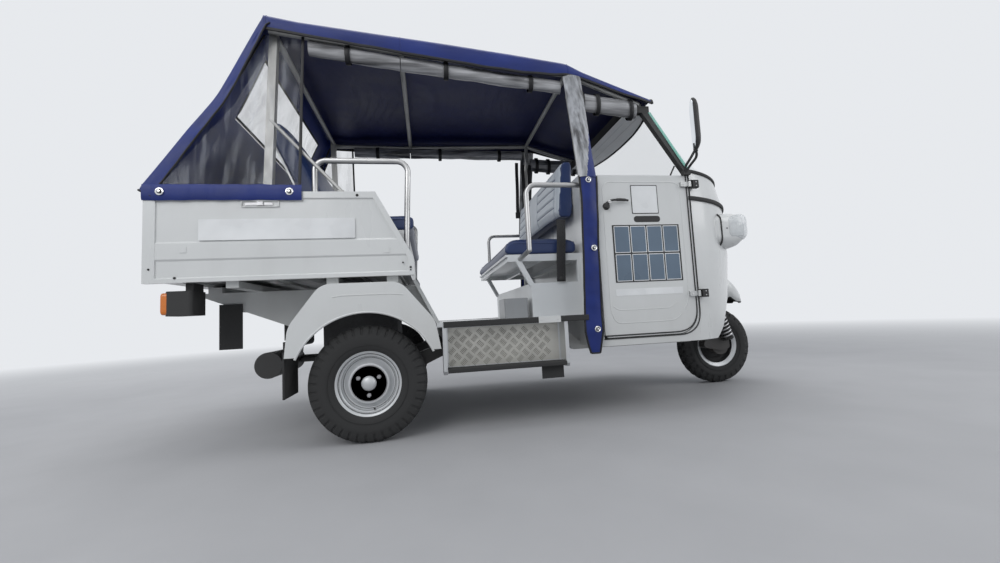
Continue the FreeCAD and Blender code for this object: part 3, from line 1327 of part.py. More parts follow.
def make_curtains():
    """Clear rear side curtains with their lower bands, rolled curtains and the front strips."""
    top = roof_at(S.canopy_rear)[1]
    sheet = S.curtain
    low = S.box_top + 1
    high = top - S.roof_corner - 5
    rise = (high - S.hem_height) / (top - S.hem_height)
    slope_x = (S.box_rear - S.hem_back) + (S.canopy_rear - S.box_rear + S.hem_back) * rise + 18
    front = -258
    side = -S.box_half_width + 85
    leaning = slab("curtain_lean", "YZ", [
        (-S.box_half_width, low), (-S.box_half_width + sheet, low), (side + sheet, high), (side, high),
    ], S.box_rear - 30, front)
    face = slab("curtain_face", "XZ", [
        (S.box_rear - 2, low), (front + 10, low), (front + 10, high), (slope_x, high),
    ], -S.box_half_width - 10, side + 20)
    strip_y = -PLATFORM_HALF - S.seat_gap - sheet
    half, top = roof_at(S.strip_front)
    top_y = -half + S.roof_sheet
    strip_top = top - S.valance - 2
    strip_face = slab("strip_face", "YZ", [
        (strip_y, S.strip_seam), (strip_y + sheet, S.strip_seam), (top_y + sheet, strip_top),
        (top_y, strip_top),
    ], S.strip_rear - 20, S.strip_front)
    strip_outline = slab("strip_outline", "XZ", [
        (S.strip_rear - 8, S.strip_seam), (S.strip_front, S.strip_seam), (S.strip_front - 8, strip_top),
        (S.strip_rear, strip_top),
    ], strip_y - 10, top_y + 20)
    clear = common("strip_clear", strip_face, strip_outline)
    both("rear_curtains", group("clear_sheets", [common("side_curtain", leaning, face), clear]))
    outer = -S.box_half_width - S.seat_gap
    band = block("band", (S.box_rear + 8, outer - 5, S.box_top - 40), (front, outer, S.box_top + 26))
    strip = slab("strip", "XZ", [
        (S.strip_rear - 8, S.strip_low, 12), (S.strip_front - 38, S.strip_low, 12),
        (S.strip_front - 6, S.strip_low + 140), (S.strip_front, S.strip_seam - S.seat_gap),
        (S.strip_rear - 8, S.strip_seam - S.seat_gap),
    ], strip_y, strip_y + sheet)
    both("curtain_bands", group("band_set", [band, strip]))
    radius = size(32)
    runs = ((-240, S.canopy_mid), (S.canopy_mid, S.canopy_front - 45), (S.canopy_front + 34, S.header_rear - 24))
    rolls = []
    for number, (start, end) in enumerate(runs):
        ends = []
        for x in (start, end):
            wide, high_z = roof_at(x)
            ends.append((x, -(wide - S.roof_sheet - radius - 2), high_z - 112))
        rolls.append(strut("roll_%d" % number, ends[0], ends[1], radius))
    both("curtain_rolls", group("rolls", rolls))


def make_lamps():
    """Rear lamp housings under the bed, with their lenses."""
    rear = S.box_rear + S.lamp_rear
    front = rear + S.lamp_long
    outer = -S.box_half_width + S.lamp_inset
    inner = outer + S.lamp_wide
    housing = slab("lamp", "XY", [
        (rear + 14, outer), (rear, outer + 20), (rear, inner - 10), (rear + 10, inner), (front, inner, 16),
        (front, outer, 16),
    ], S.lamp_low, S.lamp_high)
    bracket = block("lamp_bracket", (front - 34, outer + 20, S.lamp_high), (front - 4, inner - 20, S.box_bottom))
    both("rear_lamps", fuse("rear_lamp", [housing, bracket]))
    lens = slab("lamp_lens", "XY", [
        (rear + 14, outer), (rear - 2, outer + 4), (rear - 12, outer + 20), (rear - 12, inner - 12),
        (rear, inner - 10), (rear, outer + 20),
    ], S.lamp_low + 5, S.lamp_high - 5)
    both("rear_lamp_lenses", lens)


make_chassis()
make_load_floor()
make_box_sides()
make_tailgate()
make_fenders()
make_mud_flaps()
make_bulkhead()
make_platform()
make_steps()
make_rear_bench()
make_rear_back()
make_jump_bench()
make_handrails()
outer_volume, inner_volume = make_cab()
make_doors()
make_screen()
make_cab_inside(inner_volume)
make_nose(outer_volume)
make_steering()
make_wheels()
make_rear_axle()
make_front_end()
make_canopy_frame()
make_canopy_cover()
make_curtains()
make_lamps()

doc.recompute()

faults = []
for item in doc.Objects:
    if "Invalid" in item.State or "Error" in item.State:
        faults.append("%s: %s" % (item.Label, item.State))
for label, item in PARTS.items():
    if item.Shape.isNull() or not item.Shape.isValid():
        faults.append("%s has no valid shape" % label)
if faults:
    raise RuntimeError("; ".join(faults))

os.makedirs("parts", exist_ok=True)
for label, item in PARTS.items():
    item.Shape.exportStep("parts/%s.step" % label)
    box = item.Shape.BoundBox
    print("%-22s %d solids  %8.0f cm3  x %.0f..%.0f y %.0f..%.0f z %.0f..%.0f" % (
        label, len(item.Shape.Solids), item.Shape.Volume / 1000,
        box.XMin, box.XMax, box.YMin, box.YMax, box.ZMin, box.ZMax))
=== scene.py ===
"""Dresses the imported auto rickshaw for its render.

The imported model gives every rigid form. This script adds the finishes and the pieces that plain
solids cannot show: tyres with tread, pressed rims, upholstery, the soft top with its curtains,
lamps, seals, latches and straps. Lengths are in metres. Places along the vehicle are given ahead
of the rear axle, and ahead() turns them into the model's x.
"""

from __future__ import annotations

import logging
import math
from dataclasses import dataclass
from enum import Enum
from typing import Sequence

import bpy
import numpy
from mathutils.bvhtree import BVHTree
from mathutils import Matrix, Vector, noise

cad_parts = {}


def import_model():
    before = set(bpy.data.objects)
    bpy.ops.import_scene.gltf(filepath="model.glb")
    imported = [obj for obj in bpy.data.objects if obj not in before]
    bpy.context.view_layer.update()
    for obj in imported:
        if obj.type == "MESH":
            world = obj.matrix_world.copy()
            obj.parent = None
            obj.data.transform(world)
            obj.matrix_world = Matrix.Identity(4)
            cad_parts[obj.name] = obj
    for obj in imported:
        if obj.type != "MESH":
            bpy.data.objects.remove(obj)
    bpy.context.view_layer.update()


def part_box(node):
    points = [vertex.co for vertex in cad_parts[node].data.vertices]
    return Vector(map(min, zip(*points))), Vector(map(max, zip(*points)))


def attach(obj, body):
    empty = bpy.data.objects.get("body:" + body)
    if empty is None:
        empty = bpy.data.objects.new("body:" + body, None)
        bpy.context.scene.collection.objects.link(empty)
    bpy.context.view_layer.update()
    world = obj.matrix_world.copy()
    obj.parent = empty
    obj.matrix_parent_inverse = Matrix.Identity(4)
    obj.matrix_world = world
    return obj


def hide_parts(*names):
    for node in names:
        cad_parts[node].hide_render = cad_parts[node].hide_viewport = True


LOG = logging.getLogger("rickshaw")
Colour = tuple[float, float, float]
Place = tuple[float, float, float]
Table = tuple[tuple[float, float], ...]
Outline = Sequence[tuple[float, float]]
Socket = bpy.types.NodeSocket

FORWARD = Vector((1, 0, 0))
LEFTWARD = Vector((0, 1, 0))
RIGHTWARD = Vector((0, -1, 0))
UPWARD = Vector((0, 0, 1))


class Side(Enum):
    """Which side of the vehicle a piece is on, seen by its driver."""

    RIGHT = -1
    LEFT = 1

    @property
    def label(self) -> str:
        """The side's word in the names of pieces and nodes."""
        return self.name.lower()


class Plane(Enum):
    """The plane that an outline is drawn on."""

    SIDE = "xz"
    FRONT = "yz"
    TOP = "xy"


class Vehicle:
    """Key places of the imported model, worked out from its nodes."""

    def __init__(self) -> None:
        """Reads the rear wheels' place and size from the frame."""
        low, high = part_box("rear_right_tyre")
        self.axle = (low.x + high.x) / 2
        self.rear_radius = (high.z - low.z) / 2


VEHICLE: Vehicle


def ahead(distance: float) -> float:
    """The model's x of a place ahead of the rear axle."""
    return VEHICLE.axle + distance


def at(x: float, y: float, z: float) -> Vector:
    """A point given ahead of the rear axle."""
    return Vector((ahead(x), y, z))


def smooth_step(low: float, high: float, value: float) -> float:
    """Rises smoothly from 0 at low to 1 at high."""
    share = min(max((value - low) / (high - low), 0.0), 1.0)
    return share * share * (3 - 2 * share)


def spread(low: float, high: float, count: int) -> list[float]:
    """Evenly spaced values from low to high, both included."""
    return [low + (high - low) * i / (count - 1) for i in range(count)]


def read_table(table: Table, place: float) -> float:
    """Reads a table of (place, value) pairs, straight between them and level beyond its ends."""
    return float(numpy.interp(place, *zip(*table)))


def turns(count: int) -> list[float]:
    """Angles that divide a full turn evenly."""
    return [2 * math.pi * i / count for i in range(count)]


def curve_through(points: Sequence[Vector], steps: int) -> list[Vector]:
    """Points on a smooth curve through others.

    Args:
        points: The points that the curve passes through.
        steps: How many pieces each stretch is divided into.

    Returns:
        The points along the curve.
    """
    made: list[Vector] = []
    for i in range(len(points) - 1):
        before = points[max(i - 1, 0)]
        first, last = points[i], points[i + 1]
        after = points[min(i + 2, len(points) - 1)]
        for step in range(steps):
            t = step / steps
            made.append(0.5 * (
                2 * first + (last - before) * t
                + (2 * before - 5 * first + 4 * last - after) * t * t
                + (3 * first - before - 3 * last + after) * t ** 3
            ))
    made.append(points[-1].copy())
    return made


def rounded(points: Sequence[Vector], radius: float, steps: int = 6, loop: bool = False) -> list[Vector]:
    """A path of straight runs whose corners are rounded.

    Args:
        points: The corners of the path.
        radius: How far before and after a corner its bend starts, at most.
        steps: How many pieces each bend has.
        loop: Whether the path closes on itself.

    Returns:
        The points along the path.
    """
    count = len(points)
    made: list[Vector] = []
    for i, corner in enumerate(points):
        if not loop and i in (0, count - 1):
            made.append(corner.copy())
            continue
        before, after = points[i - 1], points[(i + 1) % count]
        reach = min(radius, (before - corner).length / 2, (after - corner).length / 2)
        start = corner + (before - corner).normalized() * reach
        end = corner + (after - corner).normalized() * reach
        for step in range(steps + 1):
            t = step / steps
            made.append(start * (1 - t) ** 2 + corner * 2 * t * (1 - t) + end * t * t)
    return made


def ring(radius: float, sides: int, squash: float = 1.0) -> Outline:
    """The outline of a round section, for a sweep."""
    return [(radius * math.cos(turn), radius * squash * math.sin(turn)) for turn in turns(sides)]


def hoop(centre: Vector, radius: float, count: int) -> list[Vector]:
    """Points of an upright circle about an axle."""
    return [centre + Vector((math.cos(turn), 0, math.sin(turn))) * radius for turn in turns(count)]


def round_box(width: float, height: float, radius: float, steps: int = 4) -> Outline:
    """The outline of a rectangle with rounded corners, about its middle.

    Args:
        width: Its size across.
        height: Its size up.
        radius: The corners' radius.
        steps: How many pieces each corner has.

    Returns:
        The outline's points.
    """
    made = []
    for across, up, start in ((1, 1, 0), (-1, 1, 90), (-1, -1, 180), (1, -1, 270)):
        for step in range(steps + 1):
            turn = math.radians(start + 90 * step / steps)
            made.append((
                across * (width / 2 - radius) + radius * math.cos(turn),
                up * (height / 2 - radius) + radius * math.sin(turn),
            ))
    return made


class Form:
    """The points and faces of one piece while it is being made."""

    def __init__(self) -> None:
        """Starts with nothing."""
        self.points: list[Vector] = []
        self.faces: list[list[int]] = []
        self.marks: list[int] = []
        self.mark = 0

    def add_face(self, spots: Sequence[int]) -> None:
        """Adds a face with the current finish mark."""
        self.faces.append(list(spots))
        self.marks.append(self.mark)

    def skin(self, rows: Sequence[Sequence[Vector]], around: bool = True, loop: bool = False) -> "Form":
        """Joins rows of equally many points with faces, and fills the ends of a closed skin.

        Args:
            rows: The rows of points.
            around: Whether each row closes on itself.
            loop: Whether the last row joins the first.

        Returns:
            This form.
        """
        base = len(self.points)
        wide = len(rows[0])
        for row in rows:
            self.points.extend(row)
        for i in range(len(rows) if loop else len(rows) - 1):
            here, there = base + i * wide, base + ((i + 1) % len(rows)) * wide
            for k in range(wide if around else wide - 1):
                after = (k + 1) % wide
                self.add_face((here + k, here + after, there + after, there + k))
        if around and not loop:
            self.add_face(list(range(base + wide - 1, base - 1, -1)))
            self.add_face(list(range(base + (len(rows) - 1) * wide, base + len(rows) * wide)))
        return self

    def sweep(self, path: Sequence[Vector], section: Sequence[tuple[float, float]], up: Vector | None = None,
              loop: bool = False, sizes: Sequence[float] | None = None) -> "Form":
        """Carries a closed section along a path.

        Args:
            path: The points of the path.
            section: The outline carried along it, as (across, up).
            up: A direction that the section's up keeps to, or None to let it follow the path.
            loop: Whether the path closes on itself.
            sizes: A scale of the section at each point.

        Returns:
            This form.
        """
        rows = []
        count = len(path)
        rise = None
        for i, point in enumerate(path):
            before = path[i - 1] if loop or i > 0 else path[0]
            after = path[(i + 1) % count] if loop or i + 1 < count else path[-1]
            run = (after - before).normalized()
            if up is not None:
                rise = up
            elif rise is None:
                rise = UPWARD if abs(run.z) < 0.9 else FORWARD
            across = run.cross(rise).normalized()
            rise = across.cross(run).normalized()
            scale = sizes[i] if sizes else 1.0
            rows.append([point + (across * u + rise * v) * scale for u, v in section])
        return self.skin(rows, loop=loop)

    def tube(self, path: Sequence[Vector], radius: float, sides: int = 12, loop: bool = False,
             sizes: Sequence[float] | None = None) -> "Form":
        """Carries a round section along a path."""
        return self.sweep(path, ring(radius, sides), loop=loop, sizes=sizes)

    def turn(self, profile: Sequence[tuple[float, float]], centre: Vector, axis: Vector,
             sides: int = 48) -> "Form":
        """Turns a profile about an axis.

        Args:
            profile: Points as (distance along the axis, radius), from one end to the other.
            centre: Where the axis starts.
            axis: Its direction.
            sides: How many pieces one turn has.

        Returns:
            This form.
        """
        axis = axis.normalized()
        first = axis.orthogonal().normalized()
        second = axis.cross(first)
        rows = []
        for along, radius in profile:
            radius = max(radius, 1e-5)
            middle = centre + axis * along
            rows.append([
                middle + (first * math.cos(2 * math.pi * k / sides)
                          + second * math.sin(2 * math.pi * k / sides)) * radius
                for k in range(sides)
            ])
        return self.skin(rows)

    def block(self, low: Vector, high: Vector) -> "Form":
        """Adds a box between two corners."""
        corners = ((low.x, low.y), (high.x, low.y), (high.x, high.y), (low.x, high.y))
        return self.plate(corners, Plane.TOP, low.z, high.z)

    def plate(self, outline: Sequence[tuple[float, float]], plane: Plane, low: float, high: float) -> "Form":
        """Adds a flat plate.

        Args:
            outline: Its outline in the plane's two directions.
            plane: The plane of the outline.
            low: One face's place across the plane.
            high: The other's.

        Returns:
            This form.
        """
        rows = []
        for level in (low, high):
            if plane is Plane.SIDE:
                rows.append([Vector((u, level, v)) for u, v in outline])
            elif plane is Plane.FRONT:
                rows.append([Vector((level, u, v)) for u, v in outline])
            else:
                rows.append([Vector((u, v, level)) for u, v in outline])
        return self.skin(rows)

    def join(self, other: "Form") -> "Form":
        """Takes in another form's points and faces.

        Args:
            other: The form, which stays as it is.

        Returns:
            This form.
        """
        base = len(self.points)
        self.points.extend(point.copy() for point in other.points)
        self.faces.extend([index + base for index in face] for face in other.faces)
        self.marks.extend(other.marks)
        return self

    def both_sides(self) -> "Form":
        """Adds the mirror image of everything made so far.

        Returns:
            This form.
        """
        twin = Form()
        twin.points = [Vector((point.x, -point.y, point.z)) for point in self.points]
        twin.faces = [face[::-1] for face in self.faces]
        twin.marks = self.marks[:]
        return self.join(twin)

    def middles(self) -> list[Vector]:
        """The middle of each face."""
        return [sum((self.points[i] for i in face), Vector()) / len(face) for face in self.faces]


class Bench:
    """A material's node tree with short words for its usual nodes."""

    def __init__(self, name: str) -> None:
        """Starts a material with its shader and object coordinates.

        Args:
            name: The material's name.
        """
        self.material = bpy.data.materials.new(name)
        self.material.use_nodes = True
        self.tree = self.material.node_tree
        self.shader = self.tree.nodes["Principled BSDF"]
        self.place = self.tree.nodes.new("ShaderNodeTexCoord").outputs["Object"]

    def give(self, socket: Socket, value: Socket | float | Colour) -> None:
        """Sets a socket, or links it where the value comes from another socket.

        Args:
            socket: The socket.
            value: A number, a colour or another node's output.
        """
        if isinstance(value, Socket):
            self.tree.links.new(value, socket)
        else:
            socket.default_value = (*value, 1.0) if isinstance(value, tuple) else value

    def put(self, name: str, value: Socket | float | Colour) -> None:
        """Sets or links one of the shader's own sockets."""
        self.give(self.shader.inputs[name], value)

    def node(self, kind: str, vector: Socket | None = None, **values: float | Place) -> bpy.types.Node:
        """Adds a node.

        Args:
            kind: Its type, without the word that every type starts with.
            vector: What its vector input comes from.
            **values: The values of its other inputs, by name.

        Returns:
            The node.
        """
        node = self.tree.nodes.new("ShaderNode" + kind)
        for name, value in values.items():
            node.inputs[name].default_value = value
        if vector is not None:
            self.tree.links.new(vector, node.inputs["Vector"])
        return node

    def noise(self, scale: float, detail: float = 3.0, stretch: Place = (1, 1, 1)) -> Socket:
        """Cloudy noise from 0 to 1, stretched by a different amount in each direction."""
        place = self.node("Mapping", self.place, Scale=stretch).outputs["Vector"]
        return self.node("TexNoise", place, Scale=scale, Detail=detail).outputs["Fac"]

    def cells(self, scale: float) -> Socket:
        """Distance from the middles of a pattern of cells."""
        return self.node("TexVoronoi", self.place, Scale=scale).outputs["Distance"]

    def waves(self, scale: float, direction: str) -> Socket:
        """Parallel bands across one direction.

        Args:
            scale: How close they are.
            direction: The direction's name.

        Returns:
            The bands' value, from 0 to 1.
        """
        node = self.node("TexWave", self.place, Scale=scale)
        node.bands_direction = direction
        return node.outputs["Fac"]

    def calc(self, operation: str, first: Socket | float, second: Socket | float) -> Socket:
        """One step of arithmetic.

        Args:
            operation: Its name.
            first: The first number.
            second: The second number.

        Returns:
            The result.
        """
        node = self.node("Math")
        node.operation = operation
        for socket, value in zip(node.inputs, (first, second)):
            self.give(socket, value)
        return node.outputs[0]

    def span(self, value: Socket, low: float, high: float, to_low: float = 0.0,
             to_high: float = 1.0) -> Socket:
        """Maps a range of values onto another and holds it at its ends.

        Args:
            value: The value.
            low: Where its range starts.
            high: Where it ends.
            to_low: What its start becomes.
            to_high: What its end becomes.

        Returns:
            The new value.
        """
        ends = {"From Min": low, "From Max": high, "To Min": to_low, "To Max": to_high}
        node = self.node("MapRange", **ends)
        self.tree.links.new(value, node.inputs["Value"])
        return node.outputs["Result"]

    def blend(self, share: Socket, first: Socket | Colour, second: Socket | Colour) -> Socket:
        """Mixes two colours.

        Args:
            share: How much of the second there is.
            first: The first colour.
            second: The second colour.

        Returns:
            The mixed colour.
        """
        node = self.node("Mix")
        node.data_type = "RGBA"
        self.tree.links.new(share, node.inputs["Factor"])
        for name, value in (("A", first), ("B", second)):
            self.give([item for item in node.inputs if item.name == name and item.type == "RGBA"][0], value)
        return [item for item in node.outputs if item.type == "RGBA"][0]

    def height(self) -> Socket:
        """Height above the ground of a shaded point."""
        return self.node("SeparateXYZ", self.place).outputs["Z"]

    def downward(self) -> Socket:
        """1 where the surface faces the ground, 0 elsewhere."""
        normal = self.node("NewGeometry").outputs["Normal"]
        return self.span(self.node("SeparateXYZ", normal).outputs["Z"], -0.3, -0.6)

    def checks(self, scale: float) -> Socket:
        """1 and 0 in alternate squares."""
        return self.node("TexChecker", self.place, Scale=scale).outputs["Fac"]

    def emboss(self, *layers: tuple[Socket, float, float]) -> None:
        """Roughens the surface.

        Args:
            *layers: Each a height socket, its strength and its depth in metres.
        """
        before = None
        for socket, strength, depth in layers:
            node = self.node("Bump", Strength=strength, Distance=depth)
            self.tree.links.new(socket, node.inputs["Height"])
            if before is not None:
                self.tree.links.new(before, node.inputs["Normal"])
            before = node.outputs["Normal"]
        self.put("Normal", before)


def tint(colour: Colour, factor: float) -> Colour:
    """A colour made darker or lighter."""
    return tuple(min(part * factor, 1.0) for part in colour)


@dataclass(frozen=True)
class Finish:
    """What every finish has: a name, a colour, a roughness and the palette's slot."""

    name: str
    colour: Colour
    roughness: float
    slot: str

    def build(self) -> bpy.types.Material:
        """Makes the material, or finds it if it was made before.

        Returns:
            The material.
        """
        made = bpy.data.materials.get(self.name)
        if made is None:
            bench = Bench(self.name)
            bench.put("Roughness", self.roughness)
            self.dress(bench)
            made = bench.material
            made.diffuse_color = (*self.colour, 1.0)
        return made

    def dress(self, bench: Bench) -> None:
        """Adds what makes this finish itself."""
        bench.put("Base Color", self.colour)

    def tone(self, bench: Bench, pattern: Socket, low: float, high: float, first: float, last: float) -> None:
        """Turns the colour from one shade into another as a pattern rises from low to high."""
        shades = [tint(self.colour, factor) for factor in (first, last)]
        bench.put("Base Color", bench.blend(bench.span(pattern, low, high), *shades))

    def roughen(self, bench: Bench, pattern: Socket, more: float, high: float = 0.7) -> None:
        """Makes the surface rougher where a pattern is high."""
        bench.put("Roughness", bench.span(pattern, 0.3, high, self.roughness, self.roughness + more))


@dataclass(frozen=True)
class Paint(Finish):
    """Sprayed enamel with a faint orange peel, grime low down and dust in patches."""

    slot: str = "white_paint"
    dirt: Colour = (0.22, 0.2, 0.17)
    grime: float = 0.35
    coat: float = 0.5

    def dress(self, bench: Bench) -> None:
        """Adds grime, mottling and orange peel.

        Args:
            bench: The finish's node tree.
        """
        patches = bench.noise(2.3, 5.0)
        streaks = bench.noise(9.0, 4.0, (1, 1, 0.25))
        low_down = bench.span(bench.height(), 0.25, 0.75, self.grime, 0.0)
        cover = bench.calc("MULTIPLY", low_down, bench.span(patches, 0.35, 0.7))
        faint = bench.span(streaks, 0.5, 0.85, 0.0, 0.1)
        share = bench.calc("MINIMUM", bench.calc("ADD", cover, faint), 0.6)
        toned = bench.blend(bench.span(patches, 0.3, 0.7), tint(self.colour, 0.95), self.colour)
        bench.put("Base Color", bench.blend(share, toned, self.dirt))
        self.roughen(bench, streaks, 0.16, 0.8)
        bench.put("Coat Weight", self.coat)
        bench.put("Coat Roughness", 0.12)
        bench.emboss((bench.noise(260.0, 2.0), 0.06, 0.001), (patches, 0.05, 0.004))


@dataclass(frozen=True)
class RibbedFloor(Paint):
    """Enamel above, with painted shade below: faces that look down turn near black, with lighter bands along
    the ribs.
    """

    # under and rib: colours of the painted shade on downward faces and of its rib bands.
    under: Colour = (0.02, 0.02, 0.022)
    rib: Colour = (0.16, 0.17, 0.18)
    ribs: float = 3.4

    def dress(self, bench: Bench) -> None:
        """Paints shade onto the faces of the enamel that look down.

        Args:
            bench: The finish's node tree.
        """
        super().dress(bench)
        above = bench.shader.inputs["Base Color"].links[0].from_socket
        bands = bench.span(bench.waves(self.ribs, "X"), 0.7, 0.82)
        sheet = bench.blend(bands, self.under, self.rib)
        # Downward faces take the painted shade in place of the enamel.
        bench.put("Base Color", bench.blend(bench.downward(), above, sheet))


@dataclass(frozen=True)
class Metal(Finish):
    """Bare or silvered metal with fine scratches."""

    slot: str = "steel_tube"
    grain: Place = (1, 1, 1)
    metallic: float = 1.0
    dull: float = 0.18

    def dress(self, bench: Bench) -> None:
        """Adds scratches and stains.

        Args:
            bench: The finish's node tree.
        """
        scratches = bench.noise(70.0, 4.0, self.grain)
        stains = bench.noise(7.0, 4.0)
        bench.put("Metallic", self.metallic)
        self.tone(bench, stains, 0.4, 0.75, 1.0, 0.78)
        self.roughen(bench, scratches, self.dull)
        bench.emboss((scratches, 0.12, 0.0006))


@dataclass(frozen=True)
class TreadPlate(Finish):
    """Aluminium sheet with raised crossed bars."""

    slot: str = "tread_plate"
    pitch: float = 25.0

    def dress(self, bench: Bench) -> None:
        """Adds the bars in two crossed rows.

        Args:
            bench: The finish's node tree.
        """
        bench.put("Metallic", 0.9)
        stains = bench.noise(11.0, 4.0)
        self.tone(bench, stains, 0.35, 0.7, 1.0, 0.7)
        self.roughen(bench, stains, 0.2)
        across = bench.calc("MULTIPLY", bench.checks(self.pitch), bench.waves(38.0, "X"))
        other = bench.calc("SUBTRACT", 1.0, bench.checks(self.pitch))
        along = bench.calc("MULTIPLY", other, bench.waves(38.0, "Y"))
        bench.emboss((bench.noise(90.0, 3.0), 0.15, 0.0008), (bench.calc("ADD", across, along), 0.5, 0.002))


@dataclass(frozen=True)
class Rubber(Finish):
    """Black rubber, a little grey with dust."""

    slot: str = "black_plastic"
    dust: float = 0.35

    def dress(self, bench: Bench) -> None:
        """Adds dust and a fine grain.

        Args:
            bench: The finish's node tree.
        """
        clouds = bench.noise(6.0, 5.0)
        share = bench.span(clouds, 0.4, 0.8, 0.0, self.dust)
        bench.put("Base Color", bench.blend(share, self.colour, (0.13, 0.12, 0.11)))
        self.roughen(bench, clouds, 0.2)
        bench.put("Specular IOR Level", 0.25)
        bench.emboss((bench.noise(320.0, 3.0), 0.2, 0.0008))


@dataclass(frozen=True)
class Vinyl(Finish):
    """Leather-grained upholstery vinyl."""

    slot: str = "navy_vinyl"
    grain: float = 420.0
    wear: float = 0.25

    def dress(self, bench: Bench) -> None:
        """Adds the pebbled grain and rubbed patches.

        Args:
            bench: The finish's node tree.
        """
        rubbed = bench.noise(8.0, 4.0)
        bench.put("Base Color", bench.blend(
            bench.span(rubbed, 0.35, 0.75, 0.0, self.wear + 0.5), self.colour, tint(self.colour, 1.25)))
        self.roughen(bench, rubbed, 0.15)
        bench.put("Sheen Weight", 0.03)
        bench.put("Specular IOR Level", 0.35)
        bench.emboss((bench.cells(self.grain), 0.35, 0.0008), (bench.noise(38.0, 3.0), 0.15, 0.002))


@dataclass(frozen=True)
class Cloth(Finish):
    """Coated tarpaulin: a fine weave under a glossy skin, with soft creases, darker in their hollows and
    lighter on their ridges as painted shade and highlight.
    """

    slot: str = "canopy_cloth"
    weave: float = 0.25
    crease: float = 0.4

    def dress(self, bench: Bench) -> None:
        """Adds the weave and the creases, with painted shade and highlight that follow the creases.

        Args:
            bench: The finish's node tree.
        """
        creases = bench.noise(7.0, 5.0, (0.6, 1.0, 1.6))
        # The colour follows the creases' relief: painted shade in the hollows, painted highlight on the
        # ridges.
        self.tone(bench, creases, 0.3, 0.75, 0.8, 1.15)
        self.roughen(bench, creases, 0.18, 0.75)
        bench.put("Coat Weight", 0.08)
        bench.put("Coat Roughness", 0.3)
        bench.put("Specular IOR Level", 0.3)
        warp = bench.waves(190.0, "X")
        weft = bench.waves(190.0, "Z")
        bench.emboss((bench.calc("MULTIPLY", warp, weft), self.weave, 0.0006), (creases, self.crease, 0.006))


@dataclass(frozen=True)
class RolledSheet(Finish):
    """Clear sheet rolled up: grey layers with painted highlights, and painted shade in the creases between
    them.
    """

    slot: str = "rolled_sheet"
    dark: Colour = (0.05, 0.05, 0.055)
    upright: bool = False
    relief: float = 0.8

    def dress(self, bench: Bench) -> None:
        """Adds long creases along the roll, or up and down a hanging strip, with painted shade in them and
        painted highlights between.

        Args:
            bench: The finish's node tree.
        """
        creases = bench.noise(9.0, 3.0, (3.4, 3.4, 0.1) if self.upright else (0.14, 2.6, 2.6))
        fine = bench.noise(30.0, 2.0, (1.4, 1.4, 0.05) if self.upright else (0.12, 1.3, 1.3))
        # Lighter and darker streaks of the sheet's colour: painted highlights on the layers.
        pale = bench.blend(bench.span(fine, 0.35, 0.7), tint(self.colour, 0.7), tint(self.colour, 1.5))
        # The creases take the dark colour: painted shade between the layers.
        bench.put("Base Color", bench.blend(bench.span(creases, 0.5, 0.66), pale, self.dark))
        self.roughen(bench, fine, 0.2)
        bench.put("Coat Weight", 0.7)
        bench.put("Coat Roughness", 0.08)
        bench.emboss((creases, self.relief, 0.012), (fine, self.relief * 0.5, 0.003))


@dataclass(frozen=True)
class Plastic(Finish):
    """Moulded plastic with a fine spark-eroded grain."""

    slot: str = "black_plastic"
    grain: float = 300.0
    clear: float = 0.0

    def dress(self, bench: Bench) -> None:
        """Adds the grain and slight fading.

        Args:
            bench: The finish's node tree.
        """
        fade = bench.noise(5.0, 3.0)
        self.tone(bench, fade, 0.3, 0.7, 0.9, 1.12)
        self.roughen(bench, fade, 0.12)
        bench.put("Coat Weight", self.clear)
        bench.put("Specular IOR Level", 0.3)
        bench.emboss((bench.noise(self.grain, 2.0), 0.15, 0.0005))


@dataclass(frozen=True)
class Glass(Finish):
    """Thin glass or clear sheet that lets most light through."""

    slot: str = "clear_sheet"
    opacity: float = 0.2
    ripple: float = 0.0
    scuff: float = 0.0
    streaks: float = 0.0
    coat: float = 0.5

    def dress(self, bench: Bench) -> None:
        """Adds ripples, scuffs and upright streaks of painted reflection to a see-through sheet.

        Args:
            bench: The finish's node tree.
        """
        clouds = bench.noise(6.5, 4.0, (1.0, 1.0, 0.45))
        bench.put("Specular IOR Level", 0.5)
        bench.put("Coat Weight", self.coat)
        bench.put("Coat Roughness", 0.05)
        if self.streaks:
            # Upright streaks in the sheet's colour, near black between them, with more cover along them:
            # painted reflections.
            lines = bench.noise(26.0, 4.0, (1.0, 1.0, 0.09))
            pale = bench.span(lines, 0.47, 0.6)
            bench.put("Base Color", bench.blend(pale, tint(self.colour, 0.12), self.colour))
            haze = bench.span(clouds, 0.35, 0.75, self.opacity, self.opacity + self.scuff)
            bench.put("Alpha", bench.calc("ADD", haze, bench.calc("MULTIPLY", pale, self.streaks)))
        else:
            bench.put("Base Color", self.colour)
            bench.put("Alpha", bench.span(clouds, 0.35, 0.75, self.opacity, self.opacity + self.scuff))
        bench.emboss((clouds, self.ripple, 0.01), (bench.noise(28.0, 2.0), self.ripple * 0.5, 0.003))


@dataclass(frozen=True)
class LensGlass(Finish):
    """Moulded lamp lens with fine flutes."""

    slot: str = "clear_sheet"
    opacity: float = 0.5
    flutes: float = 60.0

    def dress(self, bench: Bench) -> None:
        """Adds the flutes.

        Args:
            bench: The finish's node tree.
        """
        bench.put("Base Color", self.colour)
        bench.put("Alpha", self.opacity)
        bench.put("Coat Weight", 0.8)
        bench.put("Coat Roughness", 0.04)
        bench.emboss((bench.waves(self.flutes, "Y"), 0.6, 0.003), (bench.cells(46.0), 0.3, 0.003))


@dataclass(frozen=True)
class Webbing(Finish):
    """Woven strap."""

    slot: str = "canopy_cloth"

    def dress(self, bench: Bench) -> None:
        """Adds the twill.

        Args:
            bench: The finish's node tree.
        """
        bench.put("Base Color", self.colour)
        bench.put("Sheen Weight", 0.2)
        bench.emboss((bench.waves(260.0, "DIAGONAL"), 0.6, 0.001))


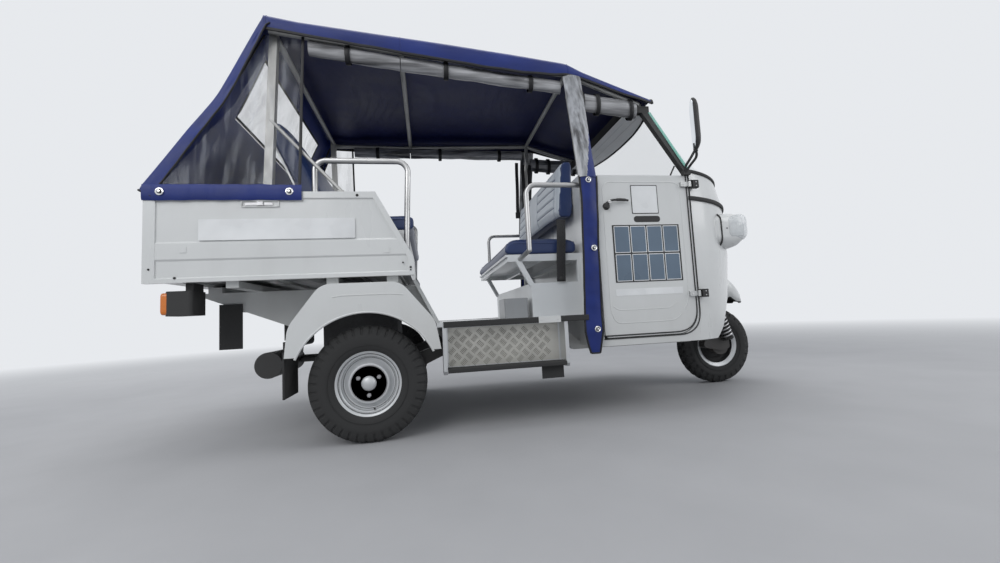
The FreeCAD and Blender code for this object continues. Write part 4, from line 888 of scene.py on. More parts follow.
WHITE_PAINT = Paint("white_enamel", (0.74, 0.75, 0.74), 0.26)
FRAME_WHITE = Paint("frame_white", (0.6, 0.61, 0.6), 0.4, grime=0.5)
INNER_WHITE = Paint("inner_white", (0.7, 0.72, 0.73), 0.38, grime=0.2)
# Brighter copy of the white enamel for the header panel: painted light, since the panel faces down into
# shade.
LIT_HEADER_WHITE = Paint("header_white", (0.93, 0.94, 0.94), 0.3, grime=0.05)
FRAME_BLACK = Paint("chassis_black", (0.025, 0.025, 0.026), 0.5, dirt=(0.1, 0.09, 0.08), coat=0.1)
RIM_SILVER = Metal("rim_silver", (0.5, 0.51, 0.52), 0.36, "rim_silver", metallic=0.75)
STEEL = Metal("stainless_tube", (0.5, 0.5, 0.5), 0.26, grain=(1, 1, 0.1))
CANOPY_TUBE = Metal("canopy_tube", (0.42, 0.42, 0.41), 0.42, grain=(1, 1, 0.2), metallic=0.7)
ALLOY = Metal("bench_alloy", (0.55, 0.56, 0.56), 0.34, grain=(0.1, 1, 1))
CHROME = Metal("bright_chrome", (0.8, 0.8, 0.8), 0.08, dull=0.08)
SPRING_STEEL = Metal("spring_steel", (0.45, 0.45, 0.46), 0.3)
CAST = Metal("engine_casting", (0.16, 0.16, 0.165), 0.55, metallic=0.6)
TREAD_PLATE = TreadPlate("tread_plate", (0.55, 0.54, 0.5), 0.34)
TREAD_RECESS = Metal("tread_recess", (0.55, 0.54, 0.5), 0.36, "tread_plate", metallic=0.8)
# Half the tread plate's brightness for its raised bars: painted shade.
SHADED_TREAD_BARS = Metal("tread_bars", (0.27, 0.262, 0.235), 0.42, "tread_plate", metallic=0.8)
TYRE = Rubber("tyre_rubber", (0.012, 0.012, 0.013), 0.62, "tyre_rubber")
BLACK_RUBBER = Rubber("black_rubber", (0.014, 0.014, 0.015), 0.5, dust=0.2)
# Bed floor: enamel with painted shade on its underside.
BED_FLOOR = RibbedFloor("bed_floor_enamel", (0.74, 0.75, 0.74), 0.3)
NAVY_VINYL = Vinyl("navy_vinyl", (0.006, 0.016, 0.072), 0.38)
PALE_VINYL = Vinyl("pale_vinyl", (0.4, 0.46, 0.53), 0.36)
CANOPY = Cloth("canopy_navy", (0.01, 0.026, 0.17), 0.36)
# Darker navy for the inside of the canopy: painted shade.
SHADED_CANOPY_INSIDE = Cloth("canopy_inside", (0.014, 0.018, 0.085), 0.34)
HEM_BLACK = Cloth("hem_black", (0.01, 0.01, 0.012), 0.45)
# Rolled and hanging clear sheets: painted highlights, with painted shade in the creases.
ROLLED = RolledSheet("rolled_clear_sheet", (0.34, 0.34, 0.35), 0.16)
STRIP_SHEET = RolledSheet("strip_clear_sheet", (0.3, 0.31, 0.33), 0.18, "clear_sheet", upright=True,
                          relief=0.35)
# Clear curtain: its upright streaks are painted reflections.
CLEAR_SHEET = Glass("clear_curtain", (0.42, 0.44, 0.47), 0.12, opacity=0.1, ripple=0.5, scuff=0.22,
                    streaks=0.1, coat=0.15)
PANE = Glass("windscreen_pane", (0.6, 0.8, 0.78), 0.03, opacity=0.09)
PANE_EDGE = Glass("pane_edge", (0.25, 0.6, 0.5), 0.08, opacity=0.75)
LENS = LensGlass("headlamp_lens", (0.85, 0.88, 0.9), 0.06)
ORANGE_LENS = Plastic("orange_lens", (0.75, 0.2, 0.02), 0.16, "tail_lens", clear=0.8)
RED_LENS = Plastic("red_lens", (0.35, 0.01, 0.01), 0.16, clear=0.8)
BLACK_PLASTIC = Plastic("black_plastic", (0.016, 0.016, 0.017), 0.4)
STICKER = Plastic("blank_sticker", (0.84, 0.85, 0.85), 0.22, "white_paint", clear=0.3)
TILE = Plastic("blank_tile", (0.13, 0.18, 0.24), 0.24, clear=0.3)
STRAP = Webbing("black_webbing", (0.012, 0.012, 0.014), 0.6)
MIRROR = Metal("mirror_glass", (0.75, 0.8, 0.84), 0.02, dull=0.0)
LOCKER_GREY = Paint("locker_grey", (0.28, 0.29, 0.3), 0.45, grime=0.1)


def make_piece(name: str, form: Form, finish: Finish | Sequence[Finish], body: str = "chassis",
               stands_for: Sequence[str] = (), bevel: float = 0.0, sharp: float = 35.0,
               wall: float = 0.0) -> bpy.types.Object:
    """Turns a form into a finished object that rides on a body.

    Args:
        name: The piece's name.
        form: Its points and faces.
        finish: Its finish, or one for each mark in the form.
        body: The CAD body that it moves with.
        stands_for: The CAD nodes that it replaces.
        bevel: Width of rounded edges.
        sharp: Angle in degrees above which an edge stays sharp.
        wall: Thickness given to an open sheet.

    Returns:
        The object.
    """
    mesh = bpy.data.meshes.new(name)
    mesh.from_pydata([tuple(point) for point in form.points], [], form.faces)
    finishes = [finish] if isinstance(finish, Finish) else list(finish)
    for item in finishes:
        mesh.materials.append(item.build())
    mesh.polygons.foreach_set("material_index", form.marks)
    mesh.polygons.foreach_set("use_smooth", [True] * len(mesh.polygons))
    mesh.validate()
    mesh.update()
    thing = bpy.data.objects.new(name, mesh)
    bpy.context.scene.collection.objects.link(thing)
    if wall:
        solid = thing.modifiers.new("Wall", "SOLIDIFY")
        solid.thickness = wall
        solid.offset = 0
    if bevel:
        edge = thing.modifiers.new("Bevel", "BEVEL")
        edge.width = bevel
        edge.segments = 2
        edge.limit_method = "ANGLE"
        edge.angle_limit = math.radians(35)
    mesh.set_sharp_from_angle(angle=math.radians(sharp if not bevel else 70))
    if stands_for:
        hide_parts(*stands_for)
    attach(thing, body)
    LOG.info("made %s: %d faces on %s", name, len(form.faces), body)
    return thing


def dress_nodes(finish: Finish, *names: str) -> None:
    """Gives carried-over CAD nodes a finish.

    Args:
        finish: The finish.
        *names: The nodes' names.
    """
    material = finish.build()
    for name in names:
        node = bpy.data.objects[name]
        node.data.materials.clear()
        node.data.materials.append(material)
        node.data.polygons.foreach_set("use_smooth", [True] * len(node.data.polygons))
        node.data.set_sharp_from_angle(angle=math.radians(28))
        LOG.info("dressed %s with %s", name, finish.name)


@dataclass
class Studio:
    """Camera, lights, floor and plain surroundings."""

    lens: float = 15.0
    sensor: float = 36.0
    eye: Place = (0.2724, -2.6391, 0.5302)
    yaw: float = 9.9736
    pitch: float = 4.6608
    roll: float = -2.998
    floor_half: float = 60.0
    backdrop: Colour = (0.8, 0.82, 0.85)
    fade_start: float = 3.5
    fade_end: float = 11.0

    def build(self) -> None:
        """Sets up everything round the vehicle."""
        self.build_camera()
        self.build_lights()
        self.build_floor()
        scene = bpy.context.scene
        scene.view_settings.view_transform = "Standard"

    def build_camera(self) -> None:
        """Puts the camera at the photograph's low viewpoint."""
        data = bpy.data.cameras.new("camera")
        data.sensor_width = self.sensor
        data.lens = self.lens
        data.clip_start = 0.05
        data.clip_end = 400
        camera = bpy.data.objects.new("camera", data)
        bpy.context.scene.collection.objects.link(camera)
        yaw, pitch, roll = (math.radians(angle) for angle in (self.yaw, self.pitch, self.roll))
        look = Vector((math.sin(yaw) * math.cos(pitch), math.cos(yaw) * math.cos(pitch), math.sin(pitch)))
        level = Vector((math.cos(yaw), -math.sin(yaw), 0))
        rise = level.cross(look)
        right = level * math.cos(roll) + rise * math.sin(roll)
        up = rise * math.cos(roll) - level * math.sin(roll)
        turn = Matrix((right, up, -look)).transposed().to_4x4()
        camera.matrix_world = Matrix.Translation(at(*self.eye)) @ turn
        bpy.context.scene.camera = camera

    def build_lights(self) -> None:
        """Lights the vehicle with large soft panels and a pale world."""
        panels = (
            ("key_panel", (-2.5, -4.5, 4.2), 4.0, 135.0),
            ("front_panel", (5.5, -2.5, 3.2), 3.0, 70.0),
            ("top_panel", (0.6, 0.5, 5.6), 4.5, 120.0),
            ("back_panel", (-3.5, 4.0, 3.5), 3.0, 60.0),
        )
        target = at(0.8, 0.0, 0.8)
        for name, spot, size, power in panels:
            data = bpy.data.lights.new(name, "AREA")
            data.shape = "SQUARE"
            data.size = size
            data.energy = power
            lamp = bpy.data.objects.new(name, data)
            bpy.context.scene.collection.objects.link(lamp)
            lamp.location = at(*spot)
            lamp.rotation_euler = (target - lamp.location).to_track_quat("-Z", "Y").to_euler()
        world = bpy.data.worlds.new("surroundings")
        bpy.context.scene.world = world
        world.use_nodes = True
        tree = world.node_tree
        ground = tree.nodes["Background"]
        ground.inputs["Color"].default_value = (0.62, 0.67, 0.74, 1)
        ground.inputs["Strength"].default_value = 0.55
        seen = tree.nodes.new("ShaderNodeBackground")
        seen.inputs["Color"].default_value = (*self.backdrop, 1)
        seen.inputs["Strength"].default_value = 1.0
        mix = tree.nodes.new("ShaderNodeMixShader")
        tree.links.new(self.seen_directly(tree), mix.inputs[0])
        tree.links.new(ground.outputs[0], mix.inputs[1])
        tree.links.new(seen.outputs[0], mix.inputs[2])
        tree.links.new(mix.outputs[0], tree.nodes["World Output"].inputs["Surface"])

    def seen_directly(self, tree: bpy.types.NodeTree) -> bpy.types.NodeSocket:
        """1 for the rays of the camera and those reflected or let through, 0 for the lighting.

        Args:
            tree: The node tree that gets the nodes.

        Returns:
            The socket with the value.
        """
        path = tree.nodes.new("ShaderNodeLightPath")
        total = path.outputs["Is Camera Ray"]
        for name in ("Is Glossy Ray", "Is Transmission Ray"):
            adder = tree.nodes.new("ShaderNodeMath")
            adder.operation = "ADD"
            adder.use_clamp = True
            tree.links.new(total, adder.inputs[0])
            tree.links.new(path.outputs[name], adder.inputs[1])
            total = adder.outputs[0]
        return total

    def build_floor(self) -> None:
        """Lays a plain pale floor that fades into the backdrop with distance."""
        half = self.floor_half
        mesh = bpy.data.meshes.new("floor")
        mesh.from_pydata([(-half, -half, 0), (half, -half, 0), (half, half, 0), (-half, half, 0)], [],
                         [(0, 1, 2, 3)])
        bench = Bench("pale_floor")
        grit = bench.noise(3.0, 6.0)
        bench.put("Base Color", bench.blend(grit, (0.4, 0.4, 0.41), (0.47, 0.47, 0.48)))
        bench.put("Roughness", 0.8)
        tree = bench.tree
        reach = tree.nodes.new("ShaderNodeVectorMath")
        reach.operation = "LENGTH"
        tree.links.new(bench.place, reach.inputs[0])
        far = bench.span(reach.outputs["Value"], self.fade_start, self.fade_end)
        glow = tree.nodes.new("ShaderNodeEmission")
        glow.inputs["Color"].default_value = (*self.backdrop, 1)
        mix = tree.nodes.new("ShaderNodeMixShader")
        tree.links.new(bench.calc("MULTIPLY", far, self.seen_directly(tree)), mix.inputs[0])
        tree.links.new(bench.shader.outputs[0], mix.inputs[1])
        tree.links.new(glow.outputs[0], mix.inputs[2])
        tree.links.new(mix.outputs[0], tree.nodes["Material Output"].inputs["Surface"])
        mesh.materials.append(bench.material)
        floor = bpy.data.objects.new("floor", mesh)
        bpy.context.scene.collection.objects.link(floor)
        LOG.info("made the studio")


class Tread(Enum):
    """Kinds of tyre tread."""

    ROAD = "road"
    KNOBBED = "knobbed"


@dataclass
class Tyre:
    """A tyre with moulded tread on its crown and shoulders."""

    name: str
    node: str
    body: str
    tread: Tread
    blocks: int = 40
    steps: int = 10
    depth: float = 0.007
    bead: float = 0.129
    bead_half: float = 0.036
    zigzag: float = 0.0022
    line_half: float = 0.0024
    lines: tuple[float, ...] = (-0.024, -0.008, 0.008, 0.024)
    shoulder: float = 0.03
    undercut: float = 0.55

    def section(self, radius: float, half: float) -> list[Place]:
        """The tyre's section from its right bead over the crown to its left.

        Args:
            radius: The tyre's radius.
            half: Half its width.

        Returns:
            Points as (across, radius, share of the tread's depth).
        """
        bead, inside = self.bead, self.bead_half
        corners = [
            (inside - 0.012, bead + 0.002), (inside, bead), (inside + 0.006, bead + 0.01),
            (half - 0.006, bead + 0.03), (half, (bead + radius) / 2 + 0.004), (half - 0.003, radius - 0.04),
            (half - 0.008, radius - 0.022), (half - 0.016, radius - 0.008), (half - 0.03, radius - 0.001),
            (half * 0.25, radius), (0.0, radius),
        ]
        path = curve_through([Vector((y, r, 0)) for y, r in corners], 4)
        side = [(point.x, point.y, smooth_step(radius - 0.05, radius - 0.03, point.y)) for point in path]
        left = [(y, r, share) for y, r, share in reversed(side[:-1])]
        return [(-y, r, share) for y, r, share in side] + left

    def groove(self, turn: float, across: float, half: float) -> float:
        """How deep the tread is cut at a place.

        Args:
            turn: The place round the wheel, as a share of a turn.
            across: The place across the tyre.
            half: Half the tyre's width.

        Returns:
            The share of the tread's depth, from 0 to 1.
        """
        beat = (turn * self.blocks) % 1.0
        beat_off = (beat + 0.5) % 1.0
        if self.tread is Tread.ROAD:
            bend = self.zigzag * (abs(beat * 4 - 2) - 1)
            lines = [abs(across - middle - bend) < self.line_half for middle in self.lines]
            edge = abs(across) > half - self.shoulder and (beat if across > 0 else beat_off) < 0.22
            sipe = 0.008 < abs(across) < 0.024 and abs(beat_off - 0.5) < 0.06
            return 1.0 if any(lines) or edge else (0.5 if sipe else 0.0)
        row = abs(across) / half
        if row < 0.3:
            open_gap = beat < 0.3 or abs(across) < 0.002
        elif row < 0.36 or 0.66 < row < 0.72:
            open_gap = True
        elif row < 0.66:
            open_gap = beat_off < 0.34
        else:
            open_gap = beat < 0.34
        return 1.0 if open_gap else 0.0

    def build(self) -> bpy.types.Object:
        """Makes the tyre in place of its plain node.

        Returns:
            The tyre's object.
        """
        low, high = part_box(self.node)
        centre = (low + high) / 2
        radius, half = (high.z - low.z) / 2, (high.y - low.y) / 2
        section = self.section(radius, half)
        count = self.blocks * self.steps
        rows = []
        for k in range(count):
            turn = k / count
            angle = 2 * math.pi * turn
            row = []
            for across, reach, share in section:
                cut = self.depth * share * self.groove(turn, across, half) if share > 0 else 0.0
                lean = self.undercut * smooth_step(radius - 0.006, radius - 0.03, reach) if share > 0 else 0.0
                level = reach - cut * (1 - lean)
                shift = across - math.copysign(cut * lean, across)
                row.append(centre + Vector((math.cos(angle) * level, shift, math.sin(angle) * level)))
            rows.append(row)
        form = Form().skin(rows, around=False, loop=True)
        for reach, offset in ((0.172, 0.0015), (0.205, 0.001)):
            for way in (-1, 1):
                wall = centre + LEFTWARD * (way * (half - 0.0012))
                form.sweep(hoop(wall, reach, 96), ring(offset, 5), up=LEFTWARD, loop=True)
        return make_piece(self.name, form, TYRE, self.body, (self.node,), sharp=38)


@dataclass
class Rim:
    """A pressed steel rim with ridges, three nuts, a domed hub and thin black rings of painted shade in its
    grooves.

    Its profile runs from the hub's top over the outer face and round the back, as (outward, radius).
    """

    name: str
    node: str
    body: str
    outward: int
    finish: Finish = RIM_SILVER
    nut_ring: float = 0.052
    nuts: int = 3
    dark_reach: float = 0.0
    profile: Table = (
        (0.049, 0.0), (0.0485, 0.008), (0.046, 0.018), (0.042, 0.027), (0.035, 0.033), (0.029, 0.036),
        (0.028, 0.04), (0.0275, 0.06), (0.0275, 0.07), (0.031, 0.074), (0.0345, 0.078), (0.0355, 0.083),
        (0.034, 0.088), (0.028, 0.092), (0.018, 0.096), (0.011, 0.102), (0.008, 0.108), (0.009, 0.113),
        (0.016, 0.117), (0.025, 0.119), (0.03, 0.122), (0.0325, 0.125), (0.0325, 0.129), (0.036, 0.132),
        (0.041, 0.1335), (0.0445, 0.137), (0.046, 0.142), (0.0475, 0.146), (0.047, 0.149),
        (0.043, 0.1495), (0.04, 0.147), (0.039, 0.138), (0.037, 0.129), (-0.037, 0.129), (-0.039, 0.138),
        (-0.042, 0.148), (-0.046, 0.149), (-0.0475, 0.145), (-0.044, 0.134), (-0.034, 0.122),
        (0.0, 0.118), (0.004, 0.1), (0.022, 0.09), (0.022, 0.035), (-0.03, 0.034), (-0.03, 0.021),
    )

    def build(self) -> bpy.types.Object:
        """Makes the rim in place of its plain node.

        Returns:
            The rim's object.
        """
        low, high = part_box(self.node)
        centre = Vector(((low.x + high.x) / 2, (low.y + high.y) / 2, (low.z + high.z) / 2))
        axis = Vector((0, self.outward, 0))
        form = Form()
        form.turn(self.profile, centre, axis, 96)
        for k, middle in enumerate(form.middles()):
            form.marks[k] = 2 if math.hypot(middle.x - centre.x, middle.z - centre.z) < self.dark_reach else 0
        face = centre + axis * 0.0275
        for inner, outer in zip(hoop(face, 0.058, 24), hoop(face, 0.071, 24)):
            form.tube([inner, outer], 0.0022, 6)
        form.mark = 1
        for k in range(self.nuts):
            angle = math.radians(90) + 2 * math.pi * k / self.nuts + math.radians(180)
            spot = centre + Vector((math.cos(angle), 0, math.sin(angle))) * self.nut_ring
            form.turn([(0.026, 0.0), (0.026, 0.0135), (0.0295, 0.0135), (0.031, 0.0115)], spot, axis, 20)
            form.turn([(0.03, 0.0), (0.03, 0.0105), (0.039, 0.0105), (0.0405, 0.009), (0.0405, 0.0)], spot,
                      axis, 6)
            form.turn([(0.04, 0.0), (0.04, 0.005), (0.045, 0.005), (0.046, 0.004), (0.046, 0.0)], spot,
                      axis, 12)
        form.turn([(0.0352, 0.0765), (0.0372, 0.0778), (0.0372, 0.0795), (0.0352, 0.081)], centre, axis, 64)
        form.mark = 2
        # Thin black rings along the rim's grooves: painted shade.
        for out, reach in ((0.0375, 0.1325), (0.0262, 0.1205), (0.0098, 0.1135), (0.031, 0.0745)):
            form.sweep(hoop(centre + axis * out, reach, 72), ring(0.0012, 5), up=LEFTWARD, loop=True)
        stem = centre + Vector((0.02, 0, -0.118)) + axis * 0.012
        form.tube([stem, stem + axis * 0.024 + Vector((0.002, 0, 0.006))], 0.0042, 8)
        return make_piece(self.name, form, (self.finish, SPRING_STEEL, BLACK_RUBBER), self.body, (self.node,),
                          sharp=32)


@dataclass
class Wheels:
    """The three wheels."""

    def build(self) -> None:
        """Makes every tyre and rim."""
        for side in Side:
            body = "rear_wheel_" + side.label
            Tyre("tyre_rear_" + side.label, "rear_%s_tyre" % side.label, body, Tread.ROAD).build()
            Rim("wheel_rear_" + side.label, "rear_%s_rim" % side.label, body, side.value).build()
        body = "front_wheel"
        Tyre("tyre_front", "front_tyre", body, Tread.KNOBBED, blocks=30, steps=12, depth=0.0095).build()
        Rim("wheel_front", "front_rim", body, Side.LEFT.value, dark_reach=0.127).build()


@dataclass
class LoadBed:
    """Finishes, latches and the blank banner of the load box, with its flaps and rear lamps."""

    face: float = 0.74
    banner_low: tuple[float, float] = (-0.658, 0.906)
    banner_high: tuple[float, float] = (-0.032, 0.996)
    latch: tuple[float, float] = (-0.42, 1.062)
    arch: float = 0.318

    def build(self) -> None:
        """Dresses the bed's nodes and adds its small pieces."""
        dress_nodes(WHITE_PAINT, "box_side_right", "box_side_left", "tailgate", "bulkhead", "rear_fenders")
        dress_nodes(BED_FLOOR, "load_floor")
        dress_nodes(BLACK_RUBBER, "mud_flaps")
        self.build_banners()
        self.build_latches()
        self.build_fender_pressings()
        self.build_lamps()

    def build_banners(self) -> None:
        """Blank banners on both sides of the bed."""
        form = Form()
        low, high = self.banner_low, self.banner_high
        middle_x, middle_z = (low[0] + high[0]) / 2, (low[1] + high[1]) / 2
        outline = [(ahead(middle_x) + u, middle_z + v)
                   for u, v in round_box(high[0] - low[0], high[1] - low[1], 0.003)]
        form.plate(outline, Plane.SIDE, -self.face + 0.0045, -self.face - 0.0008)
        form.both_sides()
        make_piece("side_banners", form, STICKER)

    def build_latches(self) -> None:
        """Slotted latch plates, bolts and rubber plugs on the box sides."""
        x, z = self.latch
        form = Form()
        for u, v, wide, tall in ((0.0, 0.012, 0.15, 0.003), (0.0, -0.012, 0.15, 0.003),
                                 (-0.074, 0.0, 0.003, 0.024), (0.074, 0.0, 0.003, 0.024)):
            form.block(at(x + u - wide / 2, -self.face - 0.001, z + v - tall / 2),
                       at(x + u + wide / 2, -self.face + 0.008, z + v + tall / 2))
        for u, v in ((-0.715, 0.868), (0.102, 0.848)):
            form.block(at(u - 0.012, -self.face - 0.0012, v - 0.012),
                       at(u + 0.012, -self.face + 0.004, v + 0.012))
        form.mark = 1
        form.block(at(x - 0.06, -self.face + 0.002, z - 0.006), at(x + 0.05, -self.face + 0.007, z + 0.005))
        form.block(at(x - 0.012, -self.face - 0.004, z - 0.008), at(x + 0.012, -self.face + 0.006, z + 0.008))
        form.mark = 2
        for u, v, radius in ((-0.745, 0.752, 0.005), (0.203, 0.768, 0.005), (0.203, 0.756, 0.0035),
                             (-0.02, 1.098, 0.006), (-0.84, 0.79, 0.004), (0.17, 0.79, 0.004)):
            form.turn([(0.0, 0.0), (0.0, radius), (0.003, radius), (0.0045, radius * 0.5), (0.0045, 0.0)],
                      at(u, -self.face + 0.0005, v), RIGHTWARD, 14)
        form.both_sides()
        make_piece("bed_latches", form, (WHITE_PAINT, SPRING_STEEL, BLACK_RUBBER))

    def build_fender_pressings(self) -> None:
        """Raised beads on the rear fenders and rolled lips round their wheel openings."""
        form = Form()
        face = -self.face - 0.0005
        path = rounded([at(-0.135, face, 0.646), at(-0.1, face, 0.652), at(0.12, face, 0.652),
                        at(0.165, face, 0.646)], 0.03)
        form.sweep(path, ring(0.0022, 6), up=LEFTWARD)
        steps = 40
        lip = []
        for k in range(steps + 1):
            angle = math.radians(24 + 132 * k / steps)
            lip.append(at(self.arch * math.cos(angle), -self.face + 0.004,
                          VEHICLE.rear_radius + self.arch * math.sin(angle)))
        form.tube(lip, 0.0055, 8)
        form.both_sides()
        make_piece("fender_beads", form, WHITE_PAINT)

    def build_lamps(self) -> None:
        """Rear lamps whose lenses are orange outside and red inside."""
        dress_nodes(BLACK_PLASTIC, "rear_lamps")
        low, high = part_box("rear_lamp_lenses")
        wide = 0.11
        middle = Vector((0, low.y + wide / 2, (low.z + high.z) / 2))
        outline = round_box(wide, high.z - low.z, 0.014)
        form = Form()
        rows = []
        for x, scale in ((high.x, 1.0), (low.x + 0.004, 1.0), (low.x, 0.92)):
            rows.append([Vector((x, middle.y + u * scale, middle.z + v * scale)) for u, v in outline])
        form.skin(rows)
        form.marks = [0 if spot.y < middle.y - 0.004 else 1 for spot in form.middles()]
        form.mark = 1
        form.block(Vector((low.x - 0.0008, middle.y - 0.002, middle.z - 0.04)),
                   Vector((low.x + 0.004, middle.y + 0.05, middle.z + 0.04)))
        form.both_sides()
        make_piece("rear_lamp_glasses", form, (ORANGE_LENS, RED_LENS),
                   stands_for=("rear_lamp_lenses",), bevel=0.0015)


@dataclass
class Underbody:
    """Chassis, axle, engine, silencer and the front suspension."""

    coil_radius: float = 0.034
    wire: float = 0.0058
    coils: int = 8

    def build(self) -> None:
        """Dresses the nodes under the vehicle."""
        dress_nodes(FRAME_WHITE, "chassis_frame")
        dress_nodes(FRAME_BLACK, "rear_axle", "silencer", "steering_head", "steering_stem", "front_link")
        dress_nodes(CAST, "engine_block")
        self.build_spring()

    def build_spring(self) -> None:
        """A coiled spring with rubber between its turns, beside the front wheel."""
        low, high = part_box("front_spring")
        middle_y = (low.y + high.y) / 2
        bottom = Vector((high.x - 0.014, middle_y, low.z - 0.012))
        top = Vector((low.x + 0.008, middle_y, high.z + 0.02))
        axis = top - bottom
        length = axis.length
        axis.normalize()
        first = axis.orthogonal().normalized()
        second = axis.cross(first)
        steps = 24
        path = []
        for k in range(self.coils * steps + 1):
            share = k / (self.coils * steps)
            angle = 2 * math.pi * k / steps
            path.append(bottom + axis * (0.008 + (length - 0.016) * share)
                        + (first * math.cos(angle) + second * math.sin(angle)) * self.coil_radius)
        form = Form()
        form.tube(path, self.wire, 8)
        form.mark = 1
        form.turn([(-0.006, 0.0), (-0.006, 0.037), (0.004, 0.037), (0.008, 0.024), (length - 0.01, 0.024),
                   (length - 0.006, 0.037), (length + 0.006, 0.037), (length + 0.006, 0.0)], bottom, axis, 24)
        make_piece("front_spring_coil", form, (SPRING_STEEL, BLACK_RUBBER), "steering", ("front_spring",),
                   sharp=50)


@dataclass
class Platform:
    """Passenger floor, side steps and their plates."""

    bar_length: float = 0.029
    bar_gap: float = 0.0068
    group_pitch: float = 0.056
    riser_face: float = 0.5968
    riser_rear: float = 0.362
    riser_front: float = 0.915
    riser_low: float = 0.298
    riser_high: float = 0.482

    def build(self) -> None:
        """Dresses the platform and the steps."""
        dress_nodes(TREAD_PLATE, "platform_floor")
        dress_nodes(TREAD_PLATE, "side_steps")
        dress_nodes(BLACK_RUBBER, "floor_nosings", "step_nosings")
        self.build_tread_plates()
        self.build_cover_plates()

    def bars(self, x: float, z: float, y: float, lean: int) -> Form:
        """A group of five raised bars of the tread plate on an upright face.

        Args:
            x: Where its middle lies ahead of the rear axle.
            z: Its middle's height.
            y: The plate's face.
            lean: 1 for bars that rise forwards, -1 for the others.

        Returns:
            The bars.
        """
        form = Form()
        run = Vector((1, 0, lean)).normalized() * (self.bar_length / 2)
        step = Vector((-lean, 0, 1)).normalized() * self.bar_gap
        for k in range(-2, 3):
            middle = at(x, y, z) + step * k
            form.tube([middle - run, middle - run * 0.6, middle + run * 0.6, middle + run], 0.0017, 6,
                      sizes=[0.2, 1.0, 1.0, 0.2])
        return form

    def build_tread_plates(self) -> None:
        """Raised bars on the risers of the side steps, in groups that lean each way in turn, darker than the
        plate as painted shade.
        """
        form = Form()
        y = -self.riser_face
        half = self.group_pitch / 2
        rows = int((self.riser_high - self.riser_low) / half)
        columns = int((self.riser_front - self.riser_rear) / self.group_pitch)
        for row in range(rows):
            for column in range(columns):
                x = self.riser_rear + half * (0.6 + row % 2) + column * self.group_pitch
                form.join(self.bars(x, self.riser_low + half * (row + 0.6), y, 1 if row % 2 else -1))
        form.both_sides()
        make_piece("tread_bars", form, SHADED_TREAD_BARS, sharp=60)
        sheet = Form()
        sheet.block(at(self.riser_rear, y - 0.0006, self.riser_low),
                    at(self.riser_front, y + 0.002, self.riser_high))
        sheet.both_sides()
        make_piece("tread_sheets", sheet, TREAD_RECESS, bevel=0.0005)

    def build_cover_plates(self) -> None:
        """White plates with two screws over the front ends of the floor's nosings."""
        form = Form()
        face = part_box("floor_nosings")[0].y - 0.0015
        form.block(Vector((ahead(0.79), face, 0.484)), Vector((ahead(0.9), face + 0.016, 0.5155)))
        for x in (0.806, 0.884):
            form.turn([(0.0, 0.0), (0.0, 0.004), (0.0015, 0.004), (0.002, 0.0)],
                      Vector((ahead(x), face, 0.5)), RIGHTWARD, 12)
        form.both_sides()
        make_piece("nosing_plates", form, WHITE_PAINT, bevel=0.0015)


